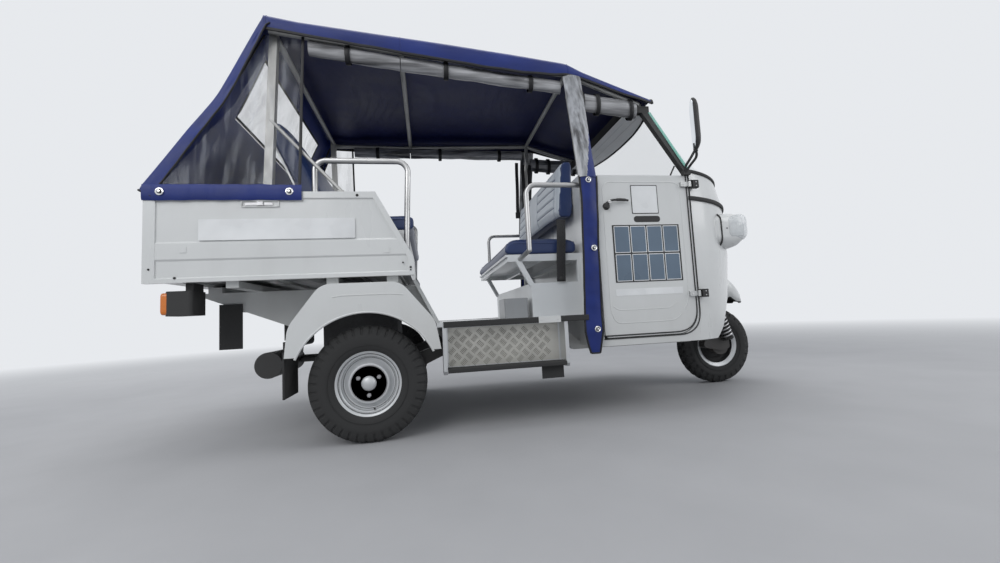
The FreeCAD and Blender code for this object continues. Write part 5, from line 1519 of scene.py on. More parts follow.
@dataclass
class Cab:
    """The cab's shell, doors, trims, lamps and glass."""

    face: float = 0.67
    trim_height: float = 1.1
    cowl_height: float = 1.25
    hinge_y: float = 0.686
    nose_side: float = 1.66
    hinges: tuple[float, float] = (0.592, 1.172)
    hinge_x: float = 1.662
    mirror_turn: float = 27.0
    nose: Table = ((0.35, 2.15), (0.82, 2.205), (1.12, 2.193), (1.25, 2.15))
    nose_steps: int = 48

    def outline(self, height: float, out: float = 0.0, start: float = 1.66) -> list[Vector]:
        """Points round the nose at a height, from the right side to the left.

        Args:
            height: The level above the ground.
            out: How far outside the shell the points lie.
            start: Where the points start on the straight sides.

        Returns:
            The points.
        """
        half = self.face + out
        tip = read_table(self.nose, height) + out - self.nose_side
        radius = (half * half + tip * tip) / (2 * tip)
        centre = self.nose_side + tip - radius
        reach = math.asin(min(half / radius, 1.0))
        if tip > radius:
            reach = math.pi - reach
        made = [at(start, -half, height)] if start < self.nose_side else []
        for angle in spread(-reach, reach, self.nose_steps + 1):
            made.append(at(centre + radius * math.cos(angle), radius * math.sin(angle), height))
        if start < self.nose_side:
            made.append(at(start, half, height))
        return made

    def build(self) -> None:
        """Dresses the cab and adds its trims."""
        dress_nodes(WHITE_PAINT, "cab_shell", "door_right", "door_left")
        dress_nodes(BLACK_RUBBER, "cab_floor")
        dress_nodes(BLACK_PLASTIC, "dashboard", "windscreen_frame")
        dress_nodes(FRAME_BLACK, "driver_seat_box")
        dress_nodes(PANE, "windscreen_glass")
        dress_nodes(STEEL, "handlebar")
        self.build_trim()
        for side in Side:
            self.build_door_skin(side)
            self.build_door_fittings(side)
        self.build_hinge_blocks()
        self.build_headlamps()
        self.build_mudguard()
        self.build_header()
        self.build_mirrors()
        self.build_grips()

    def build_trim(self) -> None:
        """Black strip round the nose, a cowl seal and paired seals in front of the doors."""
        form = Form()
        form.sweep(self.outline(self.trim_height, 0.005, start=1.7), round_box(0.012, 0.022, 0.005, 3),
                   up=UPWARD)
        form.sweep(self.outline(self.cowl_height, start=1.69), round_box(0.016, 0.018, 0.005, 2), up=UPWARD)
        for way in (-1, 1):
            y = way * (self.face + 0.001)
            for x, low in ((1.651, 0.4), (1.667, 0.385)):
                seal = rounded([at(x, y, 1.22), at(x, y, low), at(1.13, y, low)], 0.125, 10)
                form.tube(seal, 0.0034, 8)
        make_piece("cab_seals", form, BLACK_RUBBER, sharp=50)

    def build_door_skin(self, side: Side) -> None:
        """Pressed lines, blank stickers and the lower step of one door.

        Args:
            side: The side that it is on.
        """
        y = side.value * (self.face + 0.0004)
        out = side.value
        bead = Form()
        upper = [at(1.2, y, 1.186), at(1.612, y, 1.186), at(1.612, y, 0.56), at(1.54, y, 0.46),
                 at(1.2, y, 0.46), at(1.175, y, 0.52), at(1.175, y, 1.16)]
        bead.sweep(rounded(upper, 0.05, 8, loop=True), ring(0.0026, 8, 0.5), up=LEFTWARD, loop=True)
        lower = [at(1.19, y, 0.545), at(1.22, y, 0.525), at(1.5, y, 0.525), at(1.54, y, 0.55)]
        bead.sweep(rounded(lower, 0.02), ring(0.0022, 8, 0.5), up=LEFTWARD)
        make_piece("door_pressing_" + side.label, bead, WHITE_PAINT, "door_" + side.label)
        sticker = Form()

        def patch(x: float, z: float, wide: float, tall: float, thick: float, radius: float = 0.004) -> None:
            """Adds one flat patch centred at a place on the door."""
            outline = [(ahead(x) + u, z + v) for u, v in round_box(wide, tall, radius)]
            sticker.plate(outline, Plane.SIDE, y - out * 0.0005, y + out * thick)

        sticker.mark = 1
        patch(1.405, 1.094, 0.15, 0.152, 0.0008)
        patch(1.411, 0.99, 0.146, 0.032, 0.001, 0.014)
        patch(1.4, 0.812, 0.374, 0.296, 0.0008, 0.003)
        sticker.mark = 0
        patch(1.405, 1.094, 0.142, 0.144, 0.0012)
        patch(1.395, 0.614, 0.371, 0.034, 0.0008)
        for row in range(2):
            for column in range(4):
                x, z = 1.4 + (column - 1.5) * 0.091, 0.812 + (0.5 - row) * 0.146
                sticker.mark = 0
                patch(x, z, 0.084, 0.138, 0.0011, 0.003)
                sticker.mark = 2
                patch(x, z, 0.077, 0.131, 0.0014, 0.002)
        make_piece("door_stickers_" + side.label, sticker, (STICKER, BLACK_PLASTIC, TILE),
                   "door_" + side.label)

    def build_door_fittings(self, side: Side) -> None:
        """The lever handle of one door and its bright hinge arms.

        Args:
            side: The side that it is on.
        """
        out = side.value

        def spot(x: float, depth: float, z: float) -> Vector:
            """A place a little way outside the door's face."""
            return at(x, out * (self.face + depth), z)

        form = Form()
        bends = ((1.187, 0.008, 1.05), (1.192, 0.014, 1.068), (1.207, 0.019, 1.083), (1.243, 0.02, 1.0875),
                 (1.28, 0.019, 1.087), (1.306, 0.015, 1.085))
        lever = curve_through([spot(*bend) for bend in bends], 5)
        sizes = [max(0.45, 1.5 - 1.25 * min(k / 11, 1.0) + (0.35 if 14 < k < 22 else 0.0))
                 for k in range(len(lever))]
        form.sweep(lever, ring(0.0125, 12, 0.75), up=Vector((0, out, 0)), sizes=sizes)
        form.turn([(0.0, 0.0), (0.0, 0.019), (0.008, 0.017), (0.012, 0.01), (0.012, 0.0)],
                  spot(1.19, 0.0, 1.058), Vector((0, out, 0)), 20)
        form.mark = 1
        form.turn([(0.012, 0.0), (0.012, 0.009), (0.026, 0.009), (0.028, 0.007), (0.028, 0.0)],
                  spot(1.2, 0.0, 1.076), Vector((0, out, 0)), 20)
        form.mark = 2
        form.turn([(0.0281, 0.0), (0.0281, 0.0025), (0.0286, 0.0025), (0.0286, 0.0)],
                  spot(1.2, 0.0, 1.076), Vector((0, out, 0)), 8)
        for height in self.hinges:
            form.mark = 3
            half = ((1.612, 0.012), (1.64, 0.013), (self.hinge_x, 0.01))
            outline = [(ahead(x), height - v) for x, v in half]
            outline += [(ahead(x), height + v) for x, v in half[::-1]]
            form.plate(outline, Plane.SIDE, out * (self.face + 0.0005), out * (self.face + 0.014))
            form.turn([(-0.015, 0.0), (-0.015, 0.008), (0.015, 0.008), (0.015, 0.0)],
                      at(self.hinge_x, out * self.hinge_y, height), UPWARD, 16)
            form.mark = 1
            form.turn([(0.014, 0.0), (0.014, 0.0035), (0.0165, 0.003), (0.0165, 0.0)],
                      spot(1.626, 0.0, height), Vector((0, out, 0)), 10)
        make_piece("door_lever_" + side.label, form, (BLACK_PLASTIC, CHROME, BLACK_RUBBER, ALLOY),
                   "door_" + side.label, ("door_fittings_" + side.label,), sharp=45)

    def build_hinge_blocks(self) -> None:
        """Black blocks on the cab that carry the door hinges."""
        form = Form()
        for height in self.hinges:
            for end in (-1, 1):
                low, high = sorted((height + end * 0.0165, height + end * 0.021))
                outline = [(u + ahead(1.686), v - 0.682) for u, v in round_box(0.052, 0.022, 0.005)]
                form.plate(outline, Plane.TOP, low, high)
            form.block(at(1.678, -0.693, height - 0.02), at(1.712, -self.face + 0.001, height + 0.02))
            form.mark = 1
            for offset in (-0.01, 0.01):
                form.turn([(0.0, 0.0), (0.0, 0.004), (0.002, 0.0035), (0.002, 0.0)],
                          at(1.697, -0.6925, height + offset), RIGHTWARD, 10)
            form.mark = 0
        form.both_sides()
        make_piece("hinge_blocks", form, (BLACK_PLASTIC, SPRING_STEEL),
                   stands_for=("door_hinge_brackets",), bevel=0.0015)

    def build_headlamps(self) -> None:
        """Rounded lamp pods on the nose whose fluted lenses wrap round their outer sides."""
        pod = ((1.872, -0.545, 0.08, 0.89, 1.02), (1.885, -0.535, 0.104, 0.872, 1.03),
               (1.93, -0.508, 0.158, 0.853, 1.042), (1.99, -0.49, 0.194, 0.846, 1.049),
               (2.03, -0.484, 0.2, 0.858, 1.048), (2.055, -0.482, 0.192, 0.876, 1.042),
               (2.064, -0.482, 0.17, 0.9, 1.028))
        lens = ((1.955, -0.4965, 0.186, 0.9, 1.012), (1.965, -0.4965, 0.194, 0.894, 1.02),
                (2.03, -0.4865, 0.2115, 0.888, 1.038), (2.062, -0.484, 0.206, 0.89, 1.04),
                (2.078, -0.482, 0.186, 0.9, 1.032), (2.085, -0.482, 0.14, 0.92, 1.01))
        form = Form()
        for mark, (slices, corner) in enumerate(((pod, 0.36), (lens, 0.25))):
            form.mark = mark
            rows = []
            for x, y, wide, low, high in slices:
                tall = high - low
                rows.append([at(x, y + u, (low + high) / 2 + v)
                             for u, v in round_box(wide, tall, min(wide, tall) * corner, 8)])
            form.skin(rows)
        form.mark = 2
        form.turn([(0.0, 0.0), (0.0, 0.03), (0.012, 0.055), (0.016, 0.066)], at(2.058, -0.482, 0.965),
                  FORWARD, 40)
        form.mark = 3
        seam = [at(1.905, -0.522 + u, 0.947 + v) for u, v in round_box(0.13, 0.19, 0.05, 8)]
        form.tube(seam, 0.0045, 8, loop=True)
        form.turn([(0.0, 0.0), (0.0, 0.004), (0.002, 0.003), (0.002, 0.0)], at(1.94, -0.5875, 0.952),
                  RIGHTWARD, 10)
        form.both_sides()
        make_piece("headlamps", form, (WHITE_PAINT, LENS, CHROME, BLACK_RUBBER),
                   stands_for=("headlamp_pods", "headlamp_lenses"), sharp=40)

    def build_mudguard(self) -> None:
        """The rounded mudguard under the nose with its black lining."""
        tops = ((2.12, 0.815), (2.16, 0.8), (2.203, 0.775), (2.25, 0.748), (2.303, 0.713), (2.345, 0.675),
                (2.38, 0.632), (2.41, 0.586), (2.428, 0.548))
        lows = ((2.12, 0.575), (2.2, 0.557), (2.24, 0.563), (2.28, 0.578), (2.325, 0.545), (2.428, 0.536))
        form = Form()
        liner = Form()

        for target, inset in ((form, 0.0), (liner, 0.005)):
            rows = []
            for x in spread(2.12, 2.426, 36):
                narrow = max(0.0, (x - 2.29) / 0.141)
                half = 0.134 * math.sqrt(max(0.02, 1 - narrow * narrow)) - inset
                low = read_table(lows, x)
                rise = read_table(tops, x) - inset - low
                row = []
                for k in range(25):
                    angle = math.radians(-90 + 180 * k / 24)
                    across = math.copysign(abs(math.sin(angle)) ** 0.6, math.sin(angle))
                    row.append(at(x, half * across, low + rise * abs(math.cos(angle)) ** 0.6))
                rows.append(row)
            target.skin(rows, around=False)
            if target is liner:
                for column in (0, -1):
                    target.tube([row[column] for row in rows], 0.005, 6)
                target.tube(rows[-1], 0.005, 6)
        make_piece("front_mudguard_shell", form, WHITE_PAINT, stands_for=("front_mudguard",),
                   wall=0.003)
        make_piece("front_mudguard_liner", liner, BLACK_RUBBER, wall=0.002)

    def build_header(self) -> None:
        """White panel under the windscreen header, brighter than the body's enamel as painted light, the
        pane's teal edges and a small wiper.
        """
        form = Form()
        under = 1.6605
        half = ((1.436, -0.455), (1.572, -0.452), (1.6, -0.36), (1.628, -0.2), (1.637, 0.0))
        outline = [(ahead(u), v) for u, v in half] + [(ahead(u), -v) for u, v in half[-2::-1]]
        form.plate(outline, Plane.TOP, under - 0.002, under + 0.003)
        for x in (1.49, 1.545):
            form.sweep([at(x, -0.43, under - 0.002), at(x, 0.43, under - 0.002)], ring(0.0035, 8, 0.6))
        form.mark = 1
        half = ((1.436, -0.458), (1.574, -0.455), (1.606, -0.36), (1.634, -0.2), (1.643, 0.0))
        edge = [at(u, v, under - 0.002) for u, v in half]
        edge += [at(u, -v, under - 0.002) for u, v in half[-2::-1]]
        form.tube(curve_through(edge[1:-1], 6), 0.006, 8)
        form.tube([edge[0], edge[-1]], 0.004, 8)
        make_piece("header_panel", form, (LIT_HEADER_WHITE, BLACK_RUBBER), sharp=50)
        glass = Form()
        glass.sweep([at(1.688, -0.652, 1.258), at(1.586, -0.486, 1.664)], round_box(0.003, 0.016, 0.001, 2),
                    up=Vector((1, 0, 0.2)))
        glass.both_sides()
        make_piece("pane_edges", glass, PANE_EDGE, sharp=60)
        wiper = Form()
        wiper.tube([at(1.612, -0.6, 1.25), at(1.64, -0.6, 1.3)], 0.0045, 8)
        make_piece("wiper_arm", wiper, BLACK_PLASTIC)

    def build_mirrors(self) -> None:
        """Tall mirrors, turned in a little, on bent double arms."""
        form = Form()
        turn = math.radians(self.mirror_turn)
        back = Vector((-math.cos(turn), math.sin(turn), 0))
        wide = Vector((math.sin(turn), math.cos(turn), 0))
        centre = at(1.66, -0.76, 1.463)
        outline = round_box(0.128, 0.266, 0.05, 8)

        def slice_at(depth: float, scale: float) -> list[Vector]:
            """One outline of the mirror's housing, ahead of its glass."""
            return [centre - back * depth + wide * (u * scale) + Vector((0, 0, v * (1 - (1 - scale) * 0.5)))
                    for u, v in outline]

        form.skin([slice_at(-0.002, 0.95), slice_at(0.0, 1.0), slice_at(0.009, 0.99), slice_at(0.019, 0.86),
                   slice_at(0.026, 0.6)])
        form.mark = 1
        form.skin([slice_at(-0.002, 0.88), slice_at(-0.0032, 0.87)])
        form.mark = 0
        foot = at(1.645, -0.682, 1.232)
        neck = centre + Vector((0.006, 0.004, -0.128))
        outer = rounded([neck, at(1.679, -0.745, 1.3), at(1.66, -0.7, 1.262), foot], 0.03, 6)
        inner = rounded([neck, at(1.643, -0.728, 1.284), at(1.636, -0.7, 1.262), foot], 0.03, 6)
        for path in (outer, inner):
            form.tube(path, 0.0066, 10)
        form.tube([neck - Vector((0, 0, 0.012)), neck + Vector((0, 0, 0.03))], 0.011, 10)
        form.block(at(1.63, -0.69, 1.222), at(1.672, -0.666, 1.246))
        form.both_sides()
        make_piece("door_mirrors", form, (BLACK_PLASTIC, MIRROR),
                   stands_for=("mirrors",), sharp=40)

    def build_grips(self) -> None:
        """Rubber grips on the handlebar."""
        low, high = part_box("handlebar")
        form = Form()
        z = (low.z + high.z) / 2
        start = Vector((low.x + 0.004, low.y, z))
        inner = start + Vector((0.078, 0.11, 0))
        form.tube([start + Vector((-0.004, -0.006, 0)), start, inner, inner + Vector((0.004, 0.006, 0))],
                  0.0165, 14, sizes=[0.6, 1.0, 1.0, 0.75])
        form.both_sides()
        make_piece("handlebar_grips", form, BLACK_RUBBER, "steering")


@dataclass
class Cushion:
    """One stuffed seat pad, inflated from its CAD solid, crowned and pulled in between its corners."""

    name: str
    node: str
    facing: Place = (0.0, 0.0, 1.0)
    dome: float = 0.018
    pull: float = 0.012
    limit: float = 0.012
    voxel: float = 0.01
    fill: float = 0.75
    seams_up: tuple[float, ...] = ()
    channel: float = 0.0
    pale_half: float = 0.0
    rib_start: float = 0.035
    rib_end: float = 0.03
    groove: float = 0.006
    slack: float = 0.007
    pressure: float = 4.0
    frames: int = 20
    skin: BVHTree | None = None

    def build(self) -> bpy.types.Object:
        """Makes the pad from its CAD solid by inflating it.

        Returns:
            The pad's object.
        """
        mesh = bpy.data.objects[self.node].data.copy()
        mesh.name = self.name
        pad = bpy.data.objects.new(self.name, mesh)
        bpy.context.scene.collection.objects.link(pad)
        low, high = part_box(self.node)
        centre = (low + high) / 2
        for vertex in mesh.vertices:
            for axis in range(3):
                span = (high[axis] - low[axis]) / 2
                vertex.co[axis] = centre[axis] + (vertex.co[axis] - centre[axis]) * (span - self.slack) / span
        mesh.materials.clear()
        mesh.materials.append(NAVY_VINYL.build())
        maker = pad.modifiers.new("Even", "REMESH")
        maker.mode = "VOXEL"
        maker.voxel_size = self.voxel
        self.apply(pad)
        self.inflate(pad)
        self.crown(pad)
        finer = pad.modifiers.new("Finer", "SUBSURF")
        finer.levels = finer.render_levels = 1
        if self.seams_up:
            self.apply(pad)
            self.press_channels(pad)
        pad.data.polygons.foreach_set("use_smooth", [True] * len(pad.data.polygons))
        self.skin = BVHTree.FromPolygons([vertex.co for vertex in pad.data.vertices],
                                         [face.vertices for face in pad.data.polygons])
        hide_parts(self.node)
        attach(pad, "chassis")
        LOG.info("made %s: %d points", self.name, len(pad.data.vertices))
        return pad

    def apply(self, pad: bpy.types.Object) -> None:
        """Makes what the modifiers show the pad's own mesh.

        Args:
            pad: The pad.
        """
        view = bpy.context.evaluated_depsgraph_get()
        view.update()
        mesh = bpy.data.meshes.new_from_object(pad.evaluated_get(view))
        pad.modifiers.clear()
        pad.data = mesh
        if not mesh.materials:
            mesh.materials.append(NAVY_VINYL.build())

    def inflate(self, pad: bpy.types.Object) -> None:
        """Swells the pad as cloth under pressure and keeps each point near its start.

        Args:
            pad: The pad.
        """
        start = [vertex.co.copy() for vertex in pad.data.vertices]
        cloth = pad.modifiers.new("Cloth", "CLOTH")
        settings = cloth.settings
        settings.use_pressure = True
        settings.uniform_pressure_force = self.pressure
        settings.effector_weights.gravity = 0.0
        settings.quality = 5
        scene = bpy.context.scene
        for frame in range(1, self.frames + 1):
            scene.frame_set(frame)
        self.apply(pad)
        scene.frame_set(1)
        for vertex, before in zip(pad.data.vertices, start):
            move = vertex.co - before
            if move.length > self.limit:
                vertex.co = before + move.normalized() * self.limit

    def axes(self) -> tuple[Vector, Vector, Vector]:
        """The pad's own directions: out of its face, across the vehicle, and up or along the face."""
        outward = Vector(self.facing).normalized()
        return outward, LEFTWARD, outward.cross(LEFTWARD).normalized()

    def rib_span(self, pad: bpy.types.Object) -> tuple[float, float]:
        """Where the sewn lines start and end along the face."""
        places = [vertex.co.dot(self.axes()[2]) for vertex in pad.data.vertices]
        return min(places) + self.rib_start, max(places) - self.rib_end

    def crown(self, pad: bpy.types.Object) -> None:
        """Domes the face, pulls the sides in between the corners, and keeps the back flat.

        Args:
            pad: The pad.
        """
        axes = self.axes()
        points = [vertex.co for vertex in pad.data.vertices]
        spans = []
        for axis in axes:
            places = [point.dot(axis) for point in points]
            spans.append(((min(places) + max(places)) / 2, (max(places) - min(places)) / 2))
        for vertex in pad.data.vertices:
            out, side, along = ((vertex.co.dot(axis) - middle) / half
                                for axis, (middle, half) in zip(axes, spans))
            face = max(0.0, (out + 1) / 2)
            edge = max(abs(side), abs(along)) ** 6
            rise = self.dome * ((1 - side ** 2) * (1 - along ** 2) - 0.2 - 0.4 * edge)
            wrinkle = 0.0025 * noise.noise(vertex.co * 9.0)
            vertex.co += axes[0] * (rise * face + wrinkle * face)
            vertex.co -= axes[1] * self.pull * math.copysign(abs(side) ** 4, side) * (1 - along ** 2)
            vertex.co -= axes[2] * self.pull * math.copysign(abs(along) ** 4, along) * (1 - side ** 2)

    def press_channels(self, pad: bpy.types.Object) -> None:
        """Presses the sewn lines into the face and turns its middle pale.

        Args:
            pad: The pad.
        """
        outward, _, along = self.axes()
        mesh = pad.data
        first, last = self.rib_span(pad)
        normals = [vertex.normal.copy() for vertex in mesh.vertices]
        inner, outer = self.seams_up
        for vertex, normal in zip(mesh.vertices, normals):
            if normal.dot(outward) < 0.5:
                continue
            place, across = vertex.co.dot(along), abs(vertex.co.y)
            gaps = [abs(across - line) for line in (inner, outer, self.pale_half)]
            if inner < across < outer and first - 0.01 < place < last + 0.01:
                share = (place - first) / self.channel
                gaps.append(abs(share - round(share)) * self.channel)
            vertex.co -= outward * self.groove * math.exp(-(min(gaps) / self.groove) ** 2)
        mesh.materials.append(PALE_VINYL.build())
        for face in mesh.polygons:
            if face.normal.dot(outward) > 0.45 and abs(face.center.y) < self.pale_half:
                face.material_index = 1

    def touch(self, start: Vector, direction: Vector) -> Vector | None:
        """Where a line from a point first meets the pad."""
        return self.skin.ray_cast(start, direction)[0]


@dataclass
class Seats:
    """Both passenger benches, the driver's seat, the locker and the belts."""

    def build(self) -> None:
        """Dresses the benches and adds their pads, seams and belts."""
        dress_nodes(INNER_WHITE, "front_bench_box")
        dress_nodes(ALLOY, "rear_bench_frame")
        dress_nodes(LOCKER_GREY, "locker")
        dress_nodes(STEEL, "rear_handrails", "front_handrails")
        back = (-1.0, 0.0, 0.16)
        forward = (0.86, 0.0, 0.42)
        pads = (
            Cushion("rear_seat_pad", "rear_bench_cushion", pull=0.004),
            Cushion("rear_back_pad", "rear_bench_back", facing=forward),
            Cushion("front_seat_pad", "front_bench_cushion", dome=0.024, pull=0.014),
            Cushion("front_back_pad", "front_bench_back", facing=back, dome=0.012, limit=0.01, voxel=0.009,
                    seams_up=(0.1, 0.435), channel=0.054, pale_half=0.488),
            Cushion("driver_seat_pad", "driver_seat_cushion"),
            Cushion("driver_back_pad", "driver_seat_back", facing=(1.0, 0.0, 0.1), dome=0.014, limit=0.01),
        )
        for pad in pads:
            pad.build()
            if pad.facing[2] == 1.0:
                self.build_welt(pad)
        self.build_threads(pads[3])
        self.build_belts()

    def build_welt(self, pad: Cushion) -> None:
        """A piped seam round a seat pad, a little under its top.

        Args:
            pad: The pad.
        """
        low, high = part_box(pad.node)
        middle = (low + high) / 2
        level = high.z - 0.03
        loop = []
        for k in range(96):
            angle = 2 * math.pi * k / 96
            way = Vector((math.cos(angle), math.sin(angle), 0))
            reach = min((high.x - middle.x + 0.1) / max(abs(way.x), 1e-6),
                        (high.y - middle.y + 0.1) / max(abs(way.y), 1e-6))
            hit = pad.touch(Vector((middle.x, middle.y, level)) + way * reach, -way)
            if hit:
                loop.append(hit)
        form = Form()
        form.tube(loop, 0.0035, 6, loop=True)
        make_piece(pad.name + "_welt", form, NAVY_VINYL, sharp=60)

    def build_threads(self, pad: Cushion) -> None:
        """Dark seams along the channels of the ribbed back.

        Args:
            pad: The back's pad.
        """
        outward, _, along = pad.axes()
        low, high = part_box(pad.node)
        middle = (low + high) / 2
        reach = (high.z - low.z) / 2 - 0.045
        inner, outer = pad.seams_up
        form = Form()

        def thread(points: list[Vector]) -> None:
            """Lays one seam on the pad's face, through the places below some points.

            Args:
                points: The points.
            """
            hits = [pad.touch(point + outward * 0.3, -outward) for point in points]
            line = [hit for hit in hits if hit]
            if len(line) > 2:
                form.tube(line, 0.0027, 6)

        for y in (-pad.pale_half, -outer, -inner, inner, outer, pad.pale_half):
            start = middle + LEFTWARD * (y - middle.y)
            thread([start + along * place for place in spread(-reach, reach, 40)])
        first, last = pad.rib_span(bpy.data.objects[pad.name])
        for k in range(math.ceil((last - first) / pad.channel)):
            start = middle + along * (first + k * pad.channel - middle.dot(along))
            for side in (-1, 1):
                thread([start + LEFTWARD * (side * y - middle.y) for y in spread(inner, outer, 30)])
        make_piece("ribbed_back_seams", form, NAVY_VINYL, sharp=60)

    def build_belts(self) -> None:
        """A lap belt on the near side and three belts that hang on the far side."""
        belts = Form()
        steel = Form()
        flat = round_box(0.0025, 0.048, 0.001, 1)
        near = curve_through([at(0.985, -0.548, 1.02), at(0.975, -0.568, 0.93), at(0.966, -0.57, 0.82),
                              at(0.962, -0.562, 0.69)], 6)
        belts.sweep(near, flat, up=FORWARD)
        for x, top, low in ((1.007, 1.728, 1.316), (1.059, 1.712, 1.307), (1.108, 1.713, 1.33)):
            hang = [at(x - 0.012 * share, 0.5 + 0.004 * math.sin(9 * share), top + (low - top) * share)
                    for share in spread(0.0, 1.0, 10)]
            belts.sweep(hang, round_box(0.0025, 0.026, 0.001, 1), up=FORWARD)
            steel.join(Form().block(at(x - 0.03, 0.494, low - 0.035), at(x + 0.006, 0.506, low + 0.012)))
        steel.turn([(0.0, 0.0), (0.0, 0.011), (0.006, 0.01), (0.008, 0.006), (0.008, 0.0)],
                   at(0.961, -0.5645, 0.705), RIGHTWARD, 12)
        make_piece("seat_belts", belts, STRAP, sharp=60)
        make_piece("belt_buckles", steel, BLACK_PLASTIC, bevel=0.002)


